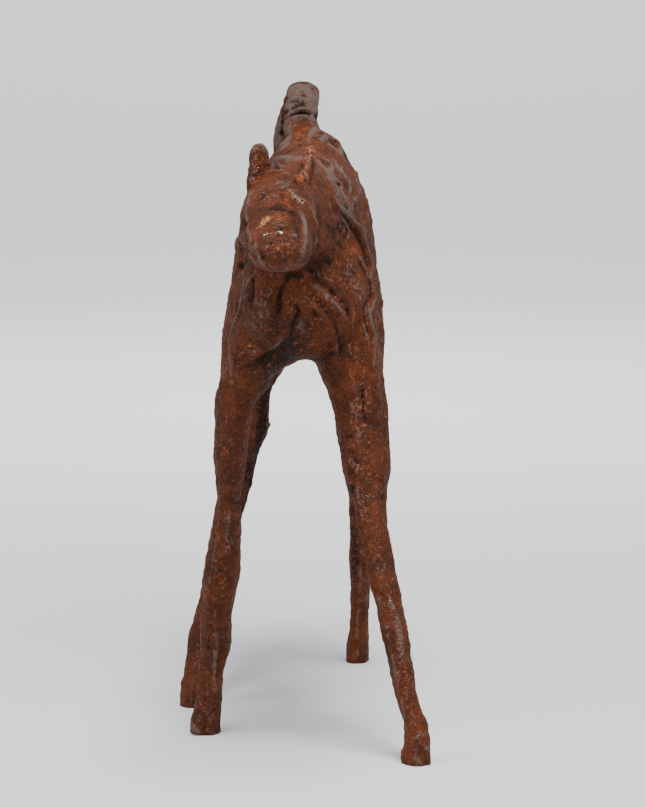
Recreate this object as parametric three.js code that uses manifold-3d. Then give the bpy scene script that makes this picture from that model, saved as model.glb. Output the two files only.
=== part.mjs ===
// Walking horse in cast iron: a hollow trunk and neck on four long solid legs, with the dowels and
// rings that join the castings. Millimetres, +Z up. The horse faces -Y and stands on its hoof soles.
import * as THREE from "three";
import { mergeVertices } from "three/addons/utils/BufferGeometryUtils.js";
import Module from "manifold-3d";

const wasm = await Module();
wasm.setup();

// Clearances and walls
const fitGap = 0.3; // clearance between pieces that touch
const wall = 9; // wall of the hollow castings
const breastWall = 21; // the hollow stops this far behind the front of the breast
const ringWall = 6; // wall of the joint rings
const ringReach = 14; // how far a joint ring runs to each side of its seam

// Seams between the castings, by their place along the horse or their height
const headSeam = -84;
const neckSeam = -8;
const frontSeam = 122;
const rearSeam = 284;
const foreSeam = 352;
const hindSeam = 340;

const headLength = 140; // from the head seam to the end of the muzzle

// The neck's hollow stops short of the head seam, so the head's dowel has solid iron to sit in
const neckPlugLength = 29;

// Dowels: radius, and length to each side of the seam that they cross
const legDowelRadius = 7;
const legDowelReach = 26;
const headDowelRadius = 8;
const headDowelReach = 24;
const tailDowelRadius = 5;
const tailDowelReach = 20;
const tailBossRadius = 14;
const earPinRadius = 1.6;
const earPinReach = 7;
const dowelEnd = 1; // free depth past each end of a dowel

// Plug that closes the belly's core hole
const plugRadius = 14;
const plugPlace = 205; // along the horse
const plugAcross = -17.5; // from side to side

// Corner of a limb's section, a little squarer than an ellipse, as a hand-modelled limb is
const limbCorner = 0.74;

// Angle between the tail's root and the vertical, in degrees
const tailLean = 24;

// Length past a muscle's ends at which it would run out, as a share of the gap between its points
const muscleEnd = 0.35;

// Steps of the skins: rings to each gap between two stations, and points around a ring
const bodyGapRings = 2;
const legGapRings = 1;
const smallGapRings = 2;
const bodySides = 24;
const limbSides = 16;
const smallSides = 12;
const muscleSides = 10;
const dowelSides = 20;

// Upright sections from front to back: place along the horse, middle from side to side, top, bottom,
// half width, and the share of that half width that is left near the top and near the bottom
const trunkStations = [
  [-38, -22, 458, 446, 6, 0.7, 0.7],
  [-33, -22, 482, 418, 30, 0.75, 0.75],
  [-22, -21, 506, 399, 46, 0.72, 0.8],
  [-4, -20, 536, 393, 56, 0.66, 0.88],
  [25, -19, 574, 390, 63, 0.6, 0.95],
  [60, -18.3, 599, 387, 63.2, 0.57, 1],
  [100, -17.5, 599, 384, 64, 0.64, 0.96],
  [150, -17.5, 591, 383, 66, 0.74, 0.87],
  [210, -17.5, 585, 386, 67, 0.8, 0.82],
  [270, -17, 588, 395, 66.5, 0.8, 0.82],
  [330, -16, 600, 408, 62.5, 0.72, 0.87],
  [380, -15, 612, 420, 58.5, 0.65, 0.9],
  [415, -13, 614, 432, 54, 0.66, 0.9],
  [438, -13, 605, 453, 44, 0.7, 0.85],
  [454, -14, 586, 484, 27, 0.7, 0.75],
  [461, -14, 556, 520, 8, 0.7, 0.7],
];

// The head's sections start with the share of its length that they lie in front of the head seam, and
// go on as the trunk's do. The crest runs back from the head into the withers
const headStations = [
  [1, -39.5, 514, 507, 8, 0.7, 0.7],
  [0.964, -39.5, 524, 498, 22, 0.8, 0.75],
  [0.879, -39.5, 531, 494, 29.5, 0.85, 0.8],
  [0.743, -40, 539, 495, 29.5, 0.85, 0.8],
  [0.6, -41.5, 549, 495, 31, 0.85, 0.8],
  [0.436, -42.5, 562, 492, 36, 0.85, 0.75],
  [0.257, -41, 576, 492, 35, 0.85, 0.7],
  [0.114, -41, 583, 496, 34, 0.83, 0.7],
];
const crestStations = [
  ...headStations.map(([share, ...section]) => [headSeam - share * headLength, ...section]),
  [-84, -38.5, 586, 500, 32, 0.78, 0.7],
  [-60, -32.5, 588, 492, 31, 0.7, 0.75],
  [-30, -27, 591, 477, 37, 0.66, 0.8],
  [0, -23, 594, 463, 46, 0.62, 0.85],
  [35, -20.5, 597, 452, 53, 0.59, 0.85],
  [75, -20, 598, 450, 56, 0.57, 0.85],
];

// Level sections of a leg from its root in the trunk to its sole: height, middle from side to side,
// middle along the horse, half width across, half width along
const legStations = {
  left_foreleg: [
    [520, 4, 50, 22, 34],
    [472, 8, 42, 36, 46],
    [430, 14, 36, 40, 46],
    [398, 24, 31, 35, 40],
    [372, 30, 27, 31.5, 34],
    [348, 35.5, 22, 28, 31],
    [322, 41, 17, 25.7, 28],
    [286, 43, 8, 23.7, 26],
    [262, 44.5, 0, 20, 24],
    [243, 47.5, -8, 17, 21],
    [210, 53, -18, 14.8, 18],
    [170, 61, -28, 14.9, 17],
    [146, 67, -34, 12, 15],
    [104, 75, -45, 12.2, 14.5],
    [58, 85, -57, 10.6, 13],
    [38, 90, -62, 11.8, 15],
    [20, 94, -67, 12.8, 17.5],
    [0, 93, -72, 13.2, 19],
  ],
  right_foreleg: [
    [512, -46, 52, 30, 34],
    [468, -50, 47, 39.5, 46],
    [430, -56, 45, 37, 46],
    [402, -57.5, 45, 36.5, 40],
    [388, -59.5, 45, 36.5, 36],
    [381, -65, 45, 32, 34],
    [373, -75.5, 45.5, 26, 31.5],
    [363, -78.5, 46, 27, 30],
    [342, -89, 47, 20, 27],
    [316, -91, 49, 19, 25],
    [284, -93, 51, 15.6, 22],
    [244, -95, 54, 12.4, 18],
    [215, -98, 56, 15.3, 19],
    [171, -102, 60, 18, 21],
    [150, -106, 62, 16.6, 20],
    [115, -110, 65, 15.1, 18],
    [90, -111, 67, 15.3, 17],
    [62, -115, 69, 13.2, 15],
    [25, -117.5, 72, 12.8, 15.5],
    [12, -120.5, 73, 14.2, 17.5],
    [0, -121.5, 74, 15, 18.5],
  ],
  left_hind_leg: [
    [560, 4, 396, 24, 40],
    [520, 12, 392, 38, 58],
    [470, 18, 385, 39, 68],
    [425, 26, 378, 40, 64],
    [380, 30, 374, 38, 54],
    [345, 33, 377, 34, 43],
    [310, 35, 388, 28, 34],
    [275, 37, 402, 23, 30],
    [244, 39, 412, 19.4, 27],
    [218, 41, 417, 16.4, 22],
    [194, 43, 421, 13.5, 19],
    [160, 43, 428, 13, 17],
    [120, 42, 435, 12, 16],
    [74, 43.5, 446, 9.4, 14.5],
    [54, 42, 451, 10.6, 15],
    [30, 41, 455, 11.2, 16.5],
    [12, 39.5, 458, 11.8, 18],
    [0, 38.5, 461, 12.6, 18.5],
  ],
  right_hind_leg: [
    [560, -36, 398, 24, 40],
    [520, -46, 392, 38, 58],
    [472, -55, 384, 40, 68],
    [430, -63, 372, 41, 64],
    [400, -67, 362, 42, 56],
    [374, -73, 353, 40, 49],
    [348, -78, 346, 35, 42],
    [328, -84, 341, 28.5, 36],
    [304, -83, 338, 24.5, 32],
    [276, -84, 336, 23, 28],
    [256, -89, 332, 18, 26],
    [224, -94, 318, 17.6, 22],
    [200, -102, 305, 16, 19],
    [178, -106, 293, 16, 18],
    [137, -113.5, 272, 13.5, 16.5],
    [102, -120.5, 254, 14, 16],
    [79, -129, 243, 14.2, 16],
    [42, -134.5, 226, 13.7, 16],
    [22, -137.5, 217, 14, 17.5],
    [0, -140, 207, 12.9, 18.5],
  ],
};
const earStations = {
  right_ear: [
    [562, -62.5, -93, 12, 6],
    [583, -62, -91.5, 11.4, 5],
    [595, -61, -90.5, 10.2, 4.5],
    [604, -61.2, -90, 8.4, 3.8],
    [610, -61.5, -90, 3.4, 2.2],
  ],
  left_ear: [
    [562, -21, -94, 10.5, 7],
    [581, -17, -92, 8.2, 8.8],
    [589, -14.9, -91, 6.7, 9],
    [599, -12.6, -90, 5.7, 7.5],
    [607, -11.1, -89.5, 3.8, 4.6],
  ],
};

// Sections square to the tail's path from its root in the croup to its tip: middle from side to side,
// place along the horse, height, half width across, half depth
const tailStations = [
  [-23, 421, 588, 18, 10],
  [-24, 433, 615, 20.5, 13],
  [-23, 449, 638, 20, 13.5],
  [-22, 474, 648, 19.5, 13],
  [-25, 498, 637, 20, 12.5],
  [-36, 509, 610, 20, 11.5],
  [-42, 513, 576, 16, 9.5],
  [-44, 514, 543, 10, 6.5],
  [-44, 514, 523, 3.5, 3],
];

// Muscles and folds laid over the skin: radius, how far they stand out of it, or go into it where that
// is negative, and their line. On the flanks it is given by places along the horse and heights, the same
// on both, and on the breast by places from side to side and heights
const muscles = {
  flank: [
    { radius: 10, rise: 4.5, line: [[16, 566], [28, 540], [42, 500], [52, 458], [50, 414]] }, // shoulder blade
    { radius: 9, rise: 4, line: [[110, 580], [126, 545], [138, 500], [142, 450]] }, // ribs
    { radius: 9, rise: 4, line: [[196, 574], [212, 535], [221, 490], [222, 440]] },
    { radius: 10, rise: 4.5, line: [[306, 588], [330, 555], [346, 515], [352, 470], [346, 424]] }, // haunch
    { radius: 9, rise: 4, line: [[358, 590], [380, 558], [394, 515], [396, 468], [388, 416]] }, // ham
    { radius: 9, rise: 4, line: [[288, 440], [316, 424], [340, 400], [356, 368]] }, // stifle
    { radius: 12, rise: -4, line: [[66, 570], [84, 530], [96, 485], [96, 440]] }, // behind the blade
    { radius: 30, rise: -4.5, line: [[262, 524], [270, 492], [276, 460]] }, // hollow of the flank
  ],
  breast: [
    { radius: 17, rise: 4, line: [[-55, 474], [-58, 452], [-60, 426], [-62, 400]] }, // right breast
    { radius: 8, rise: 4, line: [[-16, 474], [-4, 462], [9, 449], [20, 439]] }, // cord of the left breast
    { radius: 5.5, rise: -3.5, line: [[-35, 472], [-41, 458], [-43.5, 444], [-44, 430]] }, // clefts
    { radius: 5.5, rise: -3, line: [[-27, 452], [-24.5, 440], [-27, 424]] },
    { radius: 13, rise: -3, line: [[-14, 456], [-4, 442], [7, 432], [13, 412], [15, 390]] },
  ],
};

const iron = { color: 0x5b3d2c, roughness: 0.78, metalness: 0.4 };
const steel = { color: 0x8a8d90, roughness: 0.4, metalness: 0.9 };
const plugIron = { color: 0x4a3529, roughness: 0.7, metalness: 0.5 };

const sideways = new THREE.Vector3(1, 0, 0);
const lengthwise = new THREE.Vector3(0, 1, 0);
const upright = new THREE.Vector3(0, 0, 1);

// Rows on a smooth curve through the given rows, evenly stepped from the first to the last
function smoothRows(rows, steps) {
  const curves = [];
  for (let column = 0; column < rows[0].length; column += 3) {
    const points = rows.map((row) => new THREE.Vector3(row[column], row[column + 1] ?? 0, row[column + 2] ?? 0));
    curves.push(new THREE.CatmullRomCurve3(points, false, "catmullrom", 0.5));
  }
  const smooth = [];
  for (let step = 0; step <= steps; step++) {
    smooth.push(curves.flatMap((curve) => curve.getPoint(step / steps).toArray()));
  }
  return smooth;
}

// Points around one rounded section, whose half width shrinks to the given shares near its top and bottom
function ring(centre, side, rise, halfWidth, halfHeight, crown, keel, sides) {
  const diagonal = Math.SQRT1_2;
  const corners = [
    [0, 1],
    [crown, diagonal],
    [1, 0],
    [keel, -diagonal],
    [0, -1],
    [-keel, -diagonal],
    [-1, 0],
    [-crown, diagonal],
  ].map(([across, up]) =>
    centre.clone().addScaledVector(side, across * halfWidth).addScaledVector(rise, up * halfHeight));
  const outline = new THREE.CatmullRomCurve3(corners, true);
  return Array.from({ length: sides }, (_, place) => outline.getPoint(place / sides));
}

// Closed skin over a row of rings, each end closed on its middle
function skin(rings) {
  const sides = rings[0].length;
  const middle = (points) =>
    points.reduce((sum, point) => sum.add(point), new THREE.Vector3()).divideScalar(points.length);
  const points = [...rings.flat(), middle(rings[0]), middle(rings.at(-1))];
  const faces = [];
  for (let row = 0; row < rings.length - 1; row++) {
    for (let place = 0; place < sides; place++) {
      const next = (place + 1) % sides;
      const [a, b] = [row * sides + place, row * sides + next];
      const [c, d] = [a + sides, b + sides];
      faces.push([a, b, d], [a, d, c]);
    }
  }
  const last = (rings.length - 1) * sides;
  for (let place = 0; place < sides; place++) {
    const next = (place + 1) % sides;
    faces.push([rings.length * sides, next, place]);
    faces.push([rings.length * sides + 1, last + place, last + next]);
  }
  const volume = faces.reduce(
    (sum, [a, b, c]) => sum + points[a].dot(points[b].clone().cross(points[c])), 0);
  const geometry = new THREE.BufferGeometry().setFromPoints(points);
  geometry.setIndex(faces.flatMap((face) => (volume > 0 ? face : [face[0], face[2], face[1]])));
  return geometry;
}

function solid(geometry) {
  const bare = geometry.clone();
  bare.deleteAttribute("normal");
  bare.deleteAttribute("uv");
  const merged = mergeVertices(bare, 1e-4);
  const vertProperties = new Float32Array(merged.attributes.position.array);
  const triVerts = new Uint32Array(merged.index.array);
  return new wasm.Manifold(new wasm.Mesh({ numProp: 3, vertProperties, triVerts }));
}

// Form through upright sections, set off outwards by grow, or inwards where grow is negative
function bodyForm(stations, grow = 0) {
  const steps = (stations.length - 1) * bodyGapRings;
  const rings = smoothRows(stations, steps).map(([along, middle, top, bottom, half, crown, keel], step) => {
    const end = step === 0 ? -grow : step === steps ? grow : 0;
    const centre = new THREE.Vector3(middle, along + end, (top + bottom) / 2);
    const halfWidth = Math.max(half + grow, 1);
    const halfHeight = Math.max((top - bottom) / 2 + grow, 1);
    return ring(centre, sideways, upright, halfWidth, halfHeight, crown, keel, bodySides);
  });
  return solid(skin(rings));
}

// Form through level sections, for legs and ears
function limbForm(stations, gapRings, sides) {
  const steps = (stations.length - 1) * gapRings;
  const rings = smoothRows(stations, steps).map(([height, middle, along, half, halfAlong]) => {
    const centre = new THREE.Vector3(middle, along, height);
    return ring(centre, sideways, lengthwise, half, halfAlong, limbCorner, limbCorner, sides);
  });
  return solid(skin(rings));
}

// Form through sections square to a path that runs across the given direction
function pathForm(stations, gapRings, sides, side = sideways) {
  const steps = (stations.length - 1) * gapRings;
  const rows = smoothRows(stations, steps);
  const place = ([x, y, z]) => new THREE.Vector3(x, y, z);
  const rings = rows.map((row, step) => {
    const before = place(rows[Math.max(step - 1, 0)]);
    const after = place(rows[Math.min(step + 1, steps)]);
    const rise = side.clone().cross(after.sub(before)).normalize();
    return ring(place(row), side, rise, row[3], row[4], limbCorner, limbCorner, sides);
  });
  return solid(skin(rings));
}

// All space between two planes across one axis
const farOut = 1500;
function slab(axis, low, high) {
  const size = new THREE.Vector3(2 * farOut, 2 * farOut, 2 * farOut);
  const centre = new THREE.Vector3();
  size[axis] = high - low;
  centre[axis] = (high + low) / 2;
  return solid(new THREE.BoxGeometry(size.x, size.y, size.z).translate(centre.x, centre.y, centre.z));
}
const before = (axis, seam) => slab(axis, -farOut, seam - fitGap / 2);
const behind = (axis, seam) => slab(axis, seam + fitGap / 2, farOut);

// Round bar from one point to another
function bar(from, to, radius) {
  const reach = to.clone().sub(from);
  const turn = new THREE.Quaternion().setFromUnitVectors(lengthwise, reach.clone().normalize());
  const geometry = new THREE.CylinderGeometry(radius, radius, reach.length(), dowelSides);
  geometry.applyQuaternion(turn);
  const middle = from.clone().add(to).divideScalar(2);
  geometry.translate(middle.x, middle.y, middle.z);
  return geometry;
}

// Dowel centred on a seam, with the hole that holds it
function dowel(centre, direction, radius, reach) {
  const end = (distance) => centre.clone().addScaledVector(direction, distance);
  return {
    piece: bar(end(-reach), end(reach), radius),
    hole: solid(bar(end(-reach - dowelEnd), end(reach + dowelEnd), radius + fitGap)),
  };
}

// Middle of a limb at a given height, on the straight line between its stations
function limbMiddle(stations, height) {
  const upper = stations.findLast((row) => row[0] >= height);
  const lower = stations[stations.indexOf(upper) + 1];
  const share = (upper[0] - height) / (upper[0] - lower[0]);
  const mix = (column) => THREE.MathUtils.lerp(upper[column], lower[column], share);
  return new THREE.Vector3(mix(1), mix(2), height);
}

// Whole forms
const trunk = bodyForm(trunkStations);
const trunkGrown = bodyForm(trunkStations, fitGap);
const trunkHollow = bodyForm(trunkStations, -wall)
  .intersect(slab("y", trunkStations[0][0] + breastWall, farOut));
const crest = bodyForm(crestStations);
const crestGrown = bodyForm(crestStations, fitGap);
const neckHollow = bodyForm(crestStations, -wall)
  .intersect(slab("y", headSeam + neckPlugLength, farOut));
const tail = pathForm(tailStations, smallGapRings, limbSides);

const pieces = {};
const inner = {};

// Legs, with a dowel up into the trunk
const legSeams = { left_foreleg: foreSeam, right_foreleg: foreSeam, left_hind_leg: hindSeam, right_hind_leg: hindSeam };
const legs = {};
const legHoles = {};
for (const [name, stations] of Object.entries(legStations)) {
  legs[name] = limbForm(stations, legGapRings, limbSides);
  const { piece, hole } = dowel(limbMiddle(stations, legSeams[name]), upright, legDowelRadius, legDowelReach);
  inner[`${name}_dowel`] = piece;
  legHoles[name] = hole;
  pieces[name] = legs[name].intersect(before("z", legSeams[name])).subtract(hole);
}
const legTop = (name) => legs[name].intersect(behind("z", legSeams[name]));

// The trunk with the root of the neck, and with the roots of the legs, before the muscles are laid on
const bareTrunk = trunk.add(crest.intersect(behind("y", neckSeam)));
const bareMass = Object.keys(legs).reduce((mass, name) => mass.add(legTop(name)), bareTrunk);
const bareSkin = new THREE.Mesh(geometryOf(Object.values(legs).reduce((mass, leg) => mass.add(leg), bareTrunk)));
const upperSeam = Math.max(...Object.values(legSeams));

// One muscle on the skin, seen from one side. It swells from its ends to its middle
function muscleForm({ radius, rise, line }, seenFrom, place, grow) {
  const stations = line.map((point, number) => {
    const [hit] = new THREE.Raycaster(place(point), seenFrom.clone().negate()).intersectObject(bareSkin);
    const share = Math.sin((Math.PI * (number + muscleEnd)) / (line.length - 1 + 2 * muscleEnd));
    const thick = radius * share;
    const lift = rise > 0 ? rise * share - thick : rise * share + thick;
    const centre = hit.point.addScaledVector(hit.face.normal, lift);
    return [...centre.toArray(), thick + grow, thick + grow];
  });
  return pathForm(stations, smallGapRings, muscleSides, seenFrom);
}

// All swellings or all grooves in one
function muscleForms(wanted, grow = 0) {
  const onLeft = ([along, up]) => new THREE.Vector3(farOut, along, up);
  const onRight = ([along, up]) => new THREE.Vector3(-farOut, along, up);
  const inFront = ([across, up]) => new THREE.Vector3(across, -farOut, up);
  return wasm.Manifold.union([
    ...muscles.flank.filter(wanted).map((one) => muscleForm(one, sideways, onLeft, grow)),
    ...muscles.flank.filter(wanted).map((one) => muscleForm(one, sideways.clone().negate(), onRight, grow)),
    ...muscles.breast.filter(wanted).map((one) => muscleForm(one, lengthwise.clone().negate(), inFront, grow)),
  ]);
}
const swells = ({ rise }) => rise > 0;
const swellings = muscleForms(swells).intersect(behind("z", upperSeam));
const swellingsGrown = muscleForms(swells, fitGap);
const grooves = muscleForms((one) => !swells(one));
const mass = bareMass.add(swellings).subtract(grooves);

// Trunk castings
pieces.forequarters = mass
  .intersect(before("y", frontSeam))
  .subtract(trunkHollow)
  .subtract(neckHollow)
  .subtract(legHoles.left_foreleg)
  .subtract(legHoles.right_foreleg);

const plugMiddle = new THREE.Vector3(plugAcross, plugPlace, 0);
const plugEnd = plugMiddle.clone().setZ((trunkStations[0][2] + trunkStations[0][3]) / 2);
const shell = mass.subtract(trunkHollow);
pieces.belly_plug = solid(bar(plugMiddle, plugEnd, plugRadius)).intersect(shell);
pieces.barrel = shell
  .intersect(behind("y", frontSeam))
  .intersect(before("y", rearSeam))
  .subtract(solid(bar(plugMiddle, plugEnd, plugRadius + fitGap)));

// The tail's dowel runs along its root, through a boss inside the croup
const tailRoot = new THREE.Vector3(...tailStations[1]);
const tailDirection = upright.clone().applyAxisAngle(sideways, -THREE.MathUtils.degToRad(tailLean));
const tailDowel = dowel(tailRoot, tailDirection, tailDowelRadius, tailDowelReach);
const tailBoss = solid(bar(
  tailRoot.clone().addScaledVector(tailDirection, -tailDowelReach - dowelEnd - wall),
  tailRoot,
  tailBossRadius,
)).intersect(trunk);
inner.tail_dowel = tailDowel.piece;
pieces.tail = tail.subtract(trunkGrown).subtract(tailDowel.hole);
pieces.hindquarters = mass
  .intersect(behind("y", rearSeam))
  .subtract(trunkHollow)
  .add(tailBoss)
  .subtract(tailDowel.hole)
  .subtract(legHoles.left_hind_leg)
  .subtract(legHoles.right_hind_leg);

// Neck and head
const poll = crestStations.find((row) => row[0] >= headSeam);
const headDowelPlace = new THREE.Vector3(poll[1], headSeam, (poll[2] + poll[3]) / 2);
const headDowel = dowel(headDowelPlace, lengthwise, headDowelRadius, headDowelReach);
inner.head_dowel = headDowel.piece;
pieces.neck = crest
  .intersect(behind("y", headSeam))
  .intersect(before("y", neckSeam))
  .subtract(trunkGrown)
  .subtract(swellingsGrown)
  .subtract(neckHollow)
  .subtract(headDowel.hole);
pieces.head = crest.intersect(before("y", headSeam)).subtract(headDowel.hole);

// Ears, each on a pin into the head
for (const [name, stations] of Object.entries(earStations)) {
  const [, root] = stations;
  const earPin = dowel(new THREE.Vector3(root[1], root[2], root[0] - earPinReach), upright, earPinRadius, earPinReach);
  inner[`${name}_pin`] = earPin.piece;
  pieces[name] = limbForm(stations, smallGapRings, smallSides).subtract(crestGrown).subtract(earPin.hole);
  pieces.head = pieces.head.subtract(earPin.hole);
}

// Rings inside the seams of the hollow castings
function jointRing(stations, seam) {
  return bodyForm(stations, -wall - fitGap)
    .subtract(bodyForm(stations, -wall - fitGap - ringWall))
    .intersect(slab("y", seam - ringReach, seam + ringReach));
}
pieces.neck_ring = jointRing(crestStations, neckSeam);
pieces.front_ring = jointRing(trunkStations, frontSeam);
pieces.rear_ring = jointRing(trunkStations, rearSeam);

function geometryOf(manifold) {
  const { vertProperties, triVerts } = manifold.getMesh();
  const geometry = new THREE.BufferGeometry();
  geometry.setAttribute("position", new THREE.BufferAttribute(vertProperties, 3));
  geometry.setIndex(Array.from(triVerts));
  geometry.computeVertexNormals();
  return geometry;
}

const horse = new THREE.Group();
horse.name = "horse";
function place(name, geometry, finish) {
  const mesh = new THREE.Mesh(geometry, new THREE.MeshStandardMaterial(finish));
  mesh.name = name;
  horse.add(mesh);
}
for (const [name, piece] of Object.entries(pieces)) {
  const finish = name.endsWith("_ring") ? steel : name === "belly_plug" ? plugIron : iron;
  place(name, geometryOf(piece), finish);
}
for (const [name, geometry] of Object.entries(inner)) {
  place(name, geometry, steel);
}

// The origin lies under the middle of the horse, at the height of its soles
const box = new THREE.Box3().setFromObject(horse);
const middle = box.getCenter(new THREE.Vector3());
horse.position.set(-middle.x, -middle.y, -box.min.z);
horse.updateMatrixWorld(true);

export default horse;
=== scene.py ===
import math

import bmesh
import bpy
import numpy as np
from mathutils import Euler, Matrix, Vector, noise
from mathutils.bvhtree import BVHTree


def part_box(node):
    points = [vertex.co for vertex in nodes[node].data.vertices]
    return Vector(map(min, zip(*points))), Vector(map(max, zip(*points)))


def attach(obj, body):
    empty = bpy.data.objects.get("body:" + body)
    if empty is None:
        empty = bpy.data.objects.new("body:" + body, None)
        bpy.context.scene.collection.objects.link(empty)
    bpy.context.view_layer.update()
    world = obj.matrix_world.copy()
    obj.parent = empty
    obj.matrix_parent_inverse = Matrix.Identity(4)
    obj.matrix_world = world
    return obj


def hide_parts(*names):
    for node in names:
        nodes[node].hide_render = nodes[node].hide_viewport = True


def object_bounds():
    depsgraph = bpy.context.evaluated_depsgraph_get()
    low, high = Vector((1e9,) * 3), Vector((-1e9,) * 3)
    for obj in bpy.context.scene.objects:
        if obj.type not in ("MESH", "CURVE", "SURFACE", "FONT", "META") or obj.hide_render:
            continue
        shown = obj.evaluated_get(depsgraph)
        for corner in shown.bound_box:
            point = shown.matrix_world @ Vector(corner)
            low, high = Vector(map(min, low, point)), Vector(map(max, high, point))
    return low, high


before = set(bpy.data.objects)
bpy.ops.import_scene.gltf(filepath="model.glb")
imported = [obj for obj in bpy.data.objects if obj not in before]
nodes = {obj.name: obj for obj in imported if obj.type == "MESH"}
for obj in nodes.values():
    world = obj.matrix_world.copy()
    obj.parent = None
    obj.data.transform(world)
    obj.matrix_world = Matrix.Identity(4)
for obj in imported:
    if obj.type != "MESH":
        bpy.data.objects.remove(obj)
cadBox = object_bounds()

scene = bpy.context.scene
print("frame loaded,", len(nodes), "nodes")

# The photograph's frame and the camera that sees the horse as it does
photo = {"width": 645, "height": 807}
view = {
    "place": Vector((0.0228, -3.4119, 0.7150)),
    "tilt": 6.411,  # degrees down from level
    "focal": 3299.2,  # in pixels of the photograph
    "sensor": 36.0,
    "clipEnd": 30,
}


def makeCamera():
    data = bpy.data.cameras.new("camera")
    data.sensor_width = view["sensor"]
    data.lens = view["focal"] * view["sensor"] / photo["height"]
    data.clip_end = view["clipEnd"]
    camera = bpy.data.objects.new("camera", data)
    camera.location = view["place"]
    camera.rotation_euler = (math.radians(90 - view["tilt"]), 0, 0)
    scene.collection.objects.link(camera)
    scene.camera = camera


def photoRay(px, py):
    # Direction from the camera through one pixel of the photograph
    flat = Vector(((px - photo["width"] / 2) / view["focal"], (photo["height"] / 2 - py) / view["focal"], -1))
    flat.rotate(Euler((math.radians(90 - view["tilt"]), 0, 0)))
    return flat.normalized()


makeCamera()
print("camera placed")


# Small tools for meshes
def meshFrom(bm, name):
    mesh = bpy.data.meshes.new(name)
    bm.to_mesh(mesh)
    bm.free()
    return mesh


def linked(mesh, name):
    piece = bpy.data.objects.new(name, mesh)
    scene.collection.objects.link(piece)
    return piece


def readAll(items, field, width=1, kind=float):
    # One field of every vertex, edge, face or corner, with a row for each
    values = np.empty(len(items) * width, dtype=kind)
    items.foreach_get(field, values)
    return values.reshape(-1, width) if width > 1 else values


def readPoints(mesh):
    return readAll(mesh.vertices, "co", 3)


def readNormals(mesh):
    return readAll(mesh.vertices, "normal", 3)


def addAttribute(mesh, name, kind, domain, values, field="value"):
    mesh.attributes.new(name, kind, domain).data.foreach_set(field, values.ravel())


# The whole skin: every casting under one surface, so that it can be modelled as the founder's
# pattern was, and parted at the seams afterwards
skin = {
    "roughVoxel": 0.004,
    "roughSmoothing": 9,
    "voxel": 0.0014,
    "smoothing": 9,
    "smoothFactor": 0.5,
    "weld": 1e-6,
    "onFloor": 1e-5,  # points lower than this stand on the floor
    "soleDrop": 0.016,  # the legs run on below the floor while the skin is smoothed
    "soleSnap": 0.0002,
    "bodies": ["head", "neck", "forequarters", "barrel", "belly_plug", "hindquarters", "tail",
               "left_foreleg", "right_foreleg", "left_hind_leg", "right_hind_leg"],
    "ears": ["right_ear", "left_ear"],
    "earSink": 0.006,
}


def remeshed(mesh, voxel, smoothing):
    # A closed skin of even faces over everything in the mesh, smoothed a little
    piece = linked(mesh, "forming")
    cover = piece.modifiers.new("cover", "REMESH")
    cover.mode = "VOXEL"
    cover.voxel_size = voxel
    cover.use_smooth_shade = True
    soft = piece.modifiers.new("soft", "SMOOTH")
    soft.factor = skin["smoothFactor"]
    soft.iterations = smoothing
    graph = bpy.context.evaluated_depsgraph_get()
    made = bpy.data.meshes.new_from_object(piece.evaluated_get(graph))
    bpy.data.objects.remove(piece)
    return made


def outerSkin(bm):
    # Keeps the largest connected surface: what is left over is the wall of the hollow inside
    bm.verts.ensure_lookup_table()
    reached = set()
    biggest = []
    for start in bm.verts:
        if start in reached:
            continue
        group = [start]
        reached.add(start)
        for vert in group:
            for edge in vert.link_edges:
                other = edge.other_vert(vert)
                if other not in reached:
                    reached.add(other)
                    group.append(other)
        if len(group) > len(biggest):
            biggest = group
    keep = set(biggest)
    bmesh.ops.delete(bm, geom=[v for v in bm.verts if v not in keep], context="VERTS")


def roughSkin():
    bm = bmesh.new()
    for name in skin["bodies"]:
        bm.from_mesh(nodes[name].data)
    bmesh.ops.remove_doubles(bm, verts=bm.verts, dist=skin["weld"])
    soles = [v for v in bm.verts if v.co.z < skin["onFloor"]]
    bmesh.ops.translate(bm, verts=soles, vec=(0, 0, -skin["soleDrop"]))
    made = remeshed(meshFrom(bm, "rough"), skin["roughVoxel"], skin["roughSmoothing"])
    bm = bmesh.new()
    bm.from_mesh(made)
    outerSkin(bm)
    for name in skin["ears"]:
        ear = bmesh.new()
        ear.from_mesh(nodes[name].data)
        bmesh.ops.remove_doubles(ear, verts=ear.verts, dist=skin["weld"])
        low = min(v.co.z for v in ear.verts)
        high = max(v.co.z for v in ear.verts)
        for vert in ear.verts:  # the root is drawn down into the head
            vert.co.z -= skin["earSink"] * (high - vert.co.z) / (high - low)
        bm.from_mesh(meshFrom(ear, name))
    bmesh.ops.recalc_face_normals(bm, faces=bm.faces[:])
    return meshFrom(bm, "pattern")


def cutSoles(mesh):
    # The hooves end flat on the floor
    bm = bmesh.new()
    bm.from_mesh(mesh)
    cut = bmesh.ops.bisect_plane(bm, geom=bm.verts[:] + bm.edges[:] + bm.faces[:], dist=skin["soleSnap"],
                                 plane_co=(0, 0, 0), plane_no=(0, 0, -1), clear_outer=True)
    rim = [e for e in cut["geom_cut"] if isinstance(e, bmesh.types.BMEdge)]
    for edge in rim:
        for vert in edge.verts:
            vert.co.z = 0
    bmesh.ops.holes_fill(bm, edges=rim)
    return meshFrom(bm, "pattern")


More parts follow.
